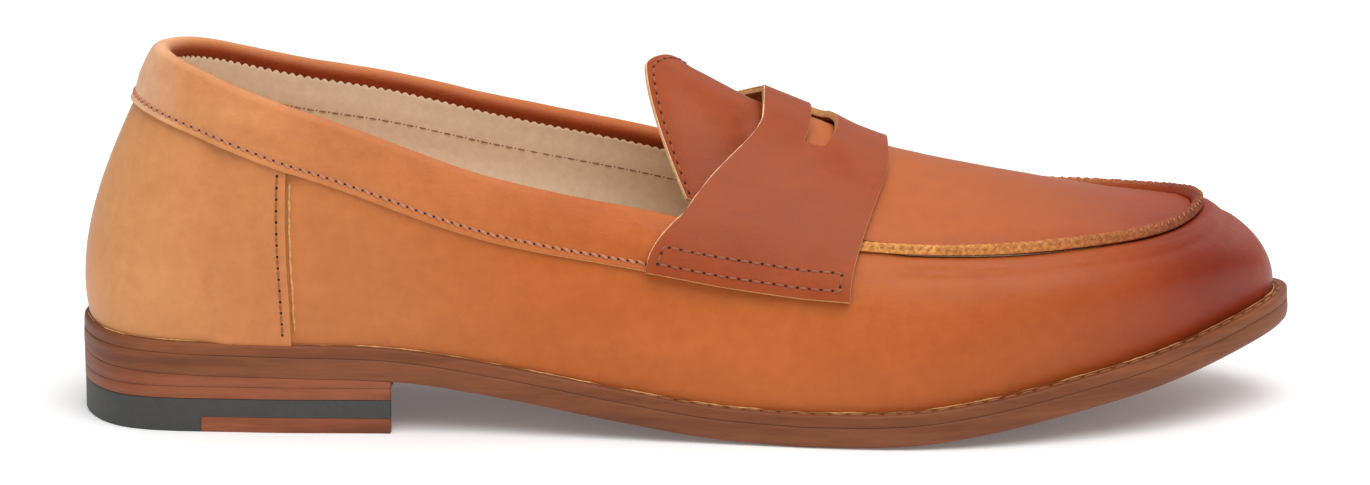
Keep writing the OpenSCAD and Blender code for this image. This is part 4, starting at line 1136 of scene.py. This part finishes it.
def build_strap(kit):
    last = kit.last
    s = np.r_[np.linspace(0, 0.33, 70), np.linspace(0.33, 0.67, 69)[1:-1], np.linspace(0.67, 1, 70)]
    u = np.r_[np.linspace(0, 0.27, 14)[:-1], np.linspace(0.27, 0.67, 21),
              np.linspace(0.67, 1, 15)[1:]]
    top = kit.strap_th + 0.4
    grid = strap_blended(kit, *np.meshgrid(s, u, indexing="ij"), top)
    grid = grid + UP * (0.08 * wave(grid, 0.09, 81.0))[..., None]
    bm = grid_mesh(last, grid)
    rows, cols = grid.shape[:2]
    uv = bm.loops.layers.uv["UVMap"]
    lost = []
    for face in bm.faces:
        r = sum(loop[uv].uv.y for loop in face.loops) / 4 * (rows - 1)
        c = sum(loop[uv].uv.x for loop in face.loops) / 4 * (cols - 1)
        sm, um = np.interp(r, np.arange(rows), s), np.interp(c, np.arange(cols), u)
        if 0.33 < sm < 0.67 and 0.27 < um < 0.67:
            lost.append(face)
    bmesh.ops.delete(bm, geom=lost, context="FACES")
    a0, a1 = np.searchsorted(s, 0.33), np.searchsorted(s, 0.67)
    b0, b1 = np.searchsorted(u, 0.2699), np.searchsorted(u, 0.6699)
    rim = ([(a, b0) for a in range(a0, a1)] + [(a1, b) for b in range(b0, b1)]
           + [(a, b1) for a in range(a1, a0, -1)] + [(a0, b) for b in range(b1, b0, -1)])
    rim_su = np.array([(s[a], u[b]) for a, b in rim])
    rel = (rim_su - np.array([0.5, SLOT_MID_U])) / np.array([0.17, 0.2])
    ang = np.arctan2(rel[:, 1], rel[:, 0])
    power = 5.0
    size = (np.abs(np.cos(ang))**power + np.abs(np.sin(ang))**power)**(-1 / power)
    bowed = 0.055 * np.cos(np.clip(rel[:, 0], -1, 1) * np.pi / 2)
    hole = np.stack([0.5 + SLOT_HALF_S * size * np.cos(ang),
                     SLOT_MID_U + SLOT_HALF_U * size * np.sin(ang) + bowed], -1)
    loops = [mix(rim_su, hole, f) for f in smooth(np.linspace(0, 1, 12))]
    patch = np.array([strap_blended(kit, loop[:, 0], loop[:, 1], top) for loop in loops])
    patch = patch + UP * (0.08 * wave(patch, 0.09, 81.0))[..., None]
    placed = last.place(np.concatenate([patch, patch[:, :1]], 1))
    made = [[bm.verts.new(c) for c in row] for row in placed]
    for r in range(len(made) - 1):
        for c in range(len(made[0]) - 1):
            face = bm.faces.new((made[r][c], made[r][c + 1], made[r + 1][c + 1], made[r + 1][c]))
            for loop in face.loops:
                loop[uv].uv = (0.5, 0.5)
    bmesh.ops.remove_doubles(bm, verts=bm.verts, dist=2e-6)
    bmesh.ops.recalc_face_normals(bm, faces=bm.faces)
    crest = max(bm.faces, key=lambda f: f.calc_center_median().z)
    if crest.normal.z < 0:
        bmesh.ops.reverse_faces(bm, faces=bm.faces)
    obj = finish_mesh("strap_leather", bm, [kit.m["strap"], kit.m["edge"], kit.m["flesh"]], SHOE,
                      ["strap"])
    solid = obj.modifiers.new("Thickness", "SOLIDIFY")
    solid.thickness = top * 0.92 * MM
    solid.offset = -1
    solid.material_offset_rim = 1
    solid.material_offset = 2
    bevel = obj.modifiers.new("Edges", "BEVEL")
    bevel.width, bevel.segments, bevel.material = 0.55 * MM, 3, 1
    bevel.limit_method, bevel.angle_limit = "ANGLE", SHARP
    runs = []
    for end in (0, 1):
        k = np.linspace(0, 1, 200)
        low, high = 0.026, 0.066
        loop = np.concatenate([
            np.stack([np.full(200, low), mix(0.05, 0.95, k)], -1),
            np.stack([mix(low, high, np.linspace(0, 1, 30)), np.full(30, 0.95)], -1)[1:],
            np.stack([np.full(200, high), mix(0.95, 0.05, k)], -1)[1:],
            np.stack([mix(high, low, np.linspace(0, 1, 30)), np.full(30, 0.05)], -1)[1:]])
        s_loop = loop[:, 0] if end == 0 else 1 - loop[:, 0]
        path = strap_blended(kit, s_loop, loop[:, 1], top)
        above = unit(strap_blended(kit, s_loop, loop[:, 1], top + 1) - path)
        runs.append((path, above))
    s = np.linspace(0.004, 0.996, 900)
    rear = [strap_blended(kit, s, np.full(s.shape, 0.0), top - d) for d in (0.22, 1.2)]
    cord(last, "strap_frayed_edge", [(rear[0], rear[0] - rear[1])], 0.44, kit.m["pale"], SHOE, (),
         12.0, 0.5)
    sew(last, "strap_stitches", runs, kit.m["dark_thread"], kit.m["hole"], SHOE,
        ["strap_stitching"], pitch=kit.pitch * 0.9, width=0.6, pit=0.85)


def tongue_surface(kit, f, c, off):
    """Point of the tongue's outer face plus off: f is 0 at its free end, c runs across it."""
    back = kit.strap_x - 15.5 - 28
    m = c + 0.2
    end = np.where(m < 0, 16 * m * m,
                   15 * np.sin(np.radians(75 * (np.sqrt(m * m + 0.0036) - 0.06))))
    x = mix(back + end, kit.split - 0.4, f)
    half = mix(0.45, 0.2, smooth((f - 0.4) * 2.2))
    lift = np.maximum(1 - 4 * f, 0)**2
    return kit.last.roof(x, 0.5 + half * c, off - 0.9 + lift - 3 * smooth((1 - f) * 3) * c * c)


def build_tongue(kit):
    last = kit.last
    f, c = np.linspace(0, 1, 70)**1.15, np.linspace(-1, 1, 110)
    ff, cc = np.meshgrid(f, c, indexing="ij")
    points = tongue_surface(kit, ff, cc, np.zeros(ff.shape))
    sheet(last, "tongue_leather", points, 1.15, [kit.m["strap"], kit.m["pale"], kit.m["flesh"]],
          FLAP, ["tongue"], 0.35, raw=True)
    lining = tongue_surface(kit, mix(0.01, 1, ff), cc * 0.98, np.full(ff.shape, -1.25))
    sheet(last, "tongue_lining_leather", lining, LINING_TH,
          [kit.m["lining"], kit.m["edge"], kit.m["lining"]], FLAP, ["tongue_lining"],
          0.2)
    k = np.linspace(0, 1, 120)
    run = np.concatenate([np.stack([0.055 + 0.06 * np.maximum(2 * k - 1, 0)**6,
                                    mix(-0.97, 0.91, k)], -1),
                          np.stack([mix(0.12, 0.45, k), np.full(120, 0.91)], -1)[1:]])
    path = tongue_surface(kit, run[:, 0], run[:, 1], np.zeros(len(run)))
    above = unit(tongue_surface(kit, run[:, 0], run[:, 1], np.ones(len(run))) - path)
    sew(last, "tongue_stitches", [(path, above)], kit.m["dark_thread"], kit.m["hole"], FLAP,
        ["tongue_stitching"], pitch=kit.pitch * 0.85, width=0.6)


def build_sock(kit):
    profile = [(4.6, 1, 2.3), (4.25, 1, 2.22), (4.15, 1, 1.9), (4.25, 1, 1.62), (4.8, 1, 1.6)]
    finish_mesh("sock_liner_leather", sole_layer(kit, profile, 300), [kit.m["sock"]], SHOE,
                ["sock_liner"])


# ---------- hidden CAD parts and the stage ----------
def dress_hidden(kit):
    """Gives the sealed inner CAD nodes, which stay as they are, their materials."""
    for node, key in (("insole", "insole"), ("cork_filler", "cork"), ("heel_filler", "cork"),
                      ("shank", "steel"), ("heel_nails", "brass"), ("heel_stiffener", "board"),
                      ("toe_puff", "board")):
        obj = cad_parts[node]
        obj.data.materials.clear()
        obj.data.materials.append(kit.m[key])


def build_stage(kit):
    scene = bpy.context.scene
    scene.view_settings.view_transform = "Standard"
    bm = bmesh.new()
    bmesh.ops.create_grid(bm, x_segments=8, y_segments=8, size=6)
    mesh = bpy.data.meshes.new("floor")
    bm.to_mesh(mesh)
    bm.free()
    s = Shader("floor_paper", Roughness=0.9, Emission_Color=(1, 1, 1, 1), Emission_Strength=0.12)
    s.set("Base Color", s.ramp(s.noise(3, 2), [(0.3, (0.93,) * 3), (0.7, (0.95,) * 3)]))
    mesh.materials.append(s.material)
    floor = bpy.data.objects.new("floor", mesh)
    scene.collection.objects.link(floor)
    world = bpy.data.worlds.new("studio")
    world.use_nodes = True
    world.node_tree.nodes["Background"].inputs[0].default_value = (1, 1, 1, 1)
    world.node_tree.nodes["Background"].inputs[1].default_value = 0.45
    scene.world = world
    for name, place, size, power, aim in (
            ("key", (0.2, -0.6, 1.15), 1.1, 12.0, (0.02, 0, 0.04)),
            ("top", (-0.1, 0.35, 1.2), 1.2, 5.5, (0.0, 0, 0.05)),
            ("rear", (0.7, 0.6, 0.6), 0.7, 1.5, (0.05, 0, 0.04))):
        light = bpy.data.lights.new(name, "AREA")
        light.energy, light.size = power, size
        obj = bpy.data.objects.new(name, light)
        obj.location = place
        obj.rotation_euler = (Vector(aim) - Vector(place)).to_track_quat("-Z", "Y").to_euler()
        scene.collection.objects.link(obj)
    camera = bpy.data.cameras.new("camera")
    camera.lens, camera.sensor_width = 147.74, 36
    camera.clip_start = 0.05
    eye = bpy.data.objects.new("camera", camera)
    target = Vector((-0.0005, 0.0005, 0.0405))
    tilt = math.radians(12.5)
    eye.location = target + 1.4 * Vector((0, -math.cos(tilt), math.sin(tilt)))
    eye.rotation_euler = (target - eye.location).to_track_quat("-Z", "Y").to_euler()
    scene.collection.objects.link(eye)
    scene.camera = eye


# ---------- add-on ----------
class BuildStep:
    """Runs the builders of one group of pieces."""
    builders = ()

    def execute(self, context):
        kit = Kit(context)
        for build in self.builders:
            build(kit)
        return {"FINISHED"}


class LOAFER_OT_materials(bpy.types.Operator):
    """Makes the materials and dresses the sealed inner parts."""
    bl_idname = "loafer.materials"
    bl_label = "Materials"

    def execute(self, context):
        MATERIALS.update(materials(context.scene.loafer_look))
        dress_hidden(Kit(context))
        return {"FINISHED"}


class LOAFER_OT_sole(BuildStep, bpy.types.Operator):
    """Builds the outsole, the rand, the sock liner and the sole's stitching."""
    bl_idname = "loafer.sole"
    bl_label = "Sole"
    builders = (build_outsole, build_rand, build_sock, build_sole_stitches)


class LOAFER_OT_heel(BuildStep, bpy.types.Operator):
    """Builds the heel's lifts, top piece and insert."""
    bl_idname = "loafer.heel"
    bl_label = "Heel"
    builders = (build_heel,)


class LOAFER_OT_linings(BuildStep, bpy.types.Operator):
    """Builds the quarter lining and the vamp lining."""
    bl_idname = "loafer.linings"
    bl_label = "Linings"
    builders = (build_quarter_lining, build_vamp_lining)


class LOAFER_OT_vamp(BuildStep, bpy.types.Operator):
    """Builds the vamp, the apron and the raised seam between them."""
    bl_idname = "loafer.vamp"
    bl_label = "Vamp and apron"
    builders = (build_vamp, build_apron, build_seam)


class LOAFER_OT_counter(BuildStep, bpy.types.Operator):
    """Builds the counter and its stitching."""
    bl_idname = "loafer.counter"
    bl_label = "Counter"
    builders = (build_counter,)


class LOAFER_OT_collar(BuildStep, bpy.types.Operator):
    """Builds the padded collar and its stitching."""
    bl_idname = "loafer.collar"
    bl_label = "Collar"
    builders = (build_collar,)


class LOAFER_OT_strap(BuildStep, bpy.types.Operator):
    """Builds the saddle strap with its coin slot and stitching."""
    bl_idname = "loafer.strap"
    bl_label = "Strap"
    builders = (build_strap,)


class LOAFER_OT_tongue(BuildStep, bpy.types.Operator):
    """Builds the tongue, its lining and its stitching."""
    bl_idname = "loafer.tongue"
    bl_label = "Tongue"
    builders = (build_tongue,)


class LOAFER_OT_stage(BuildStep, bpy.types.Operator):
    """Sets the floor, the lights and the camera."""
    bl_idname = "loafer.stage"
    bl_label = "Stage"
    builders = (build_stage,)


class LOAFER_PT_panel(bpy.types.Panel):
    """Sizes, colours and the steps that build the shoe."""
    bl_label = "Penny loafer"
    bl_idname = "LOAFER_PT_panel"
    bl_space_type = "VIEW_3D"
    bl_region_type = "UI"
    bl_category = "Loafer"

    def draw(self, context):
        for group in (context.scene.loafer_sizes, context.scene.loafer_look):
            box = self.layout.box()
            for name in group.__annotations__:
                box.prop(group, name)
        for step in STEPS:
            self.layout.operator(step.bl_idname)


STEPS = (LOAFER_OT_materials, LOAFER_OT_sole, LOAFER_OT_heel, LOAFER_OT_linings, LOAFER_OT_vamp,
         LOAFER_OT_counter, LOAFER_OT_collar, LOAFER_OT_strap, LOAFER_OT_tongue, LOAFER_OT_stage)
CLASSES = (LoaferSizes, LoaferLook, *STEPS, LOAFER_PT_panel)


def register():
    for cls in CLASSES:
        bpy.utils.register_class(cls)
    bpy.types.Scene.loafer_sizes = PointerProperty(type=LoaferSizes)
    bpy.types.Scene.loafer_look = PointerProperty(type=LoaferLook)


def unregister():
    del bpy.types.Scene.loafer_look
    del bpy.types.Scene.loafer_sizes
    for cls in reversed(CLASSES):
        bpy.utils.unregister_class(cls)


def main():
    register()
    for step in STEPS:
        group, name = step.bl_idname.split(".")
        getattr(getattr(bpy.ops, group), name)()
    bpy.context.view_layer.update()


if __name__ == "__main__":
    main()
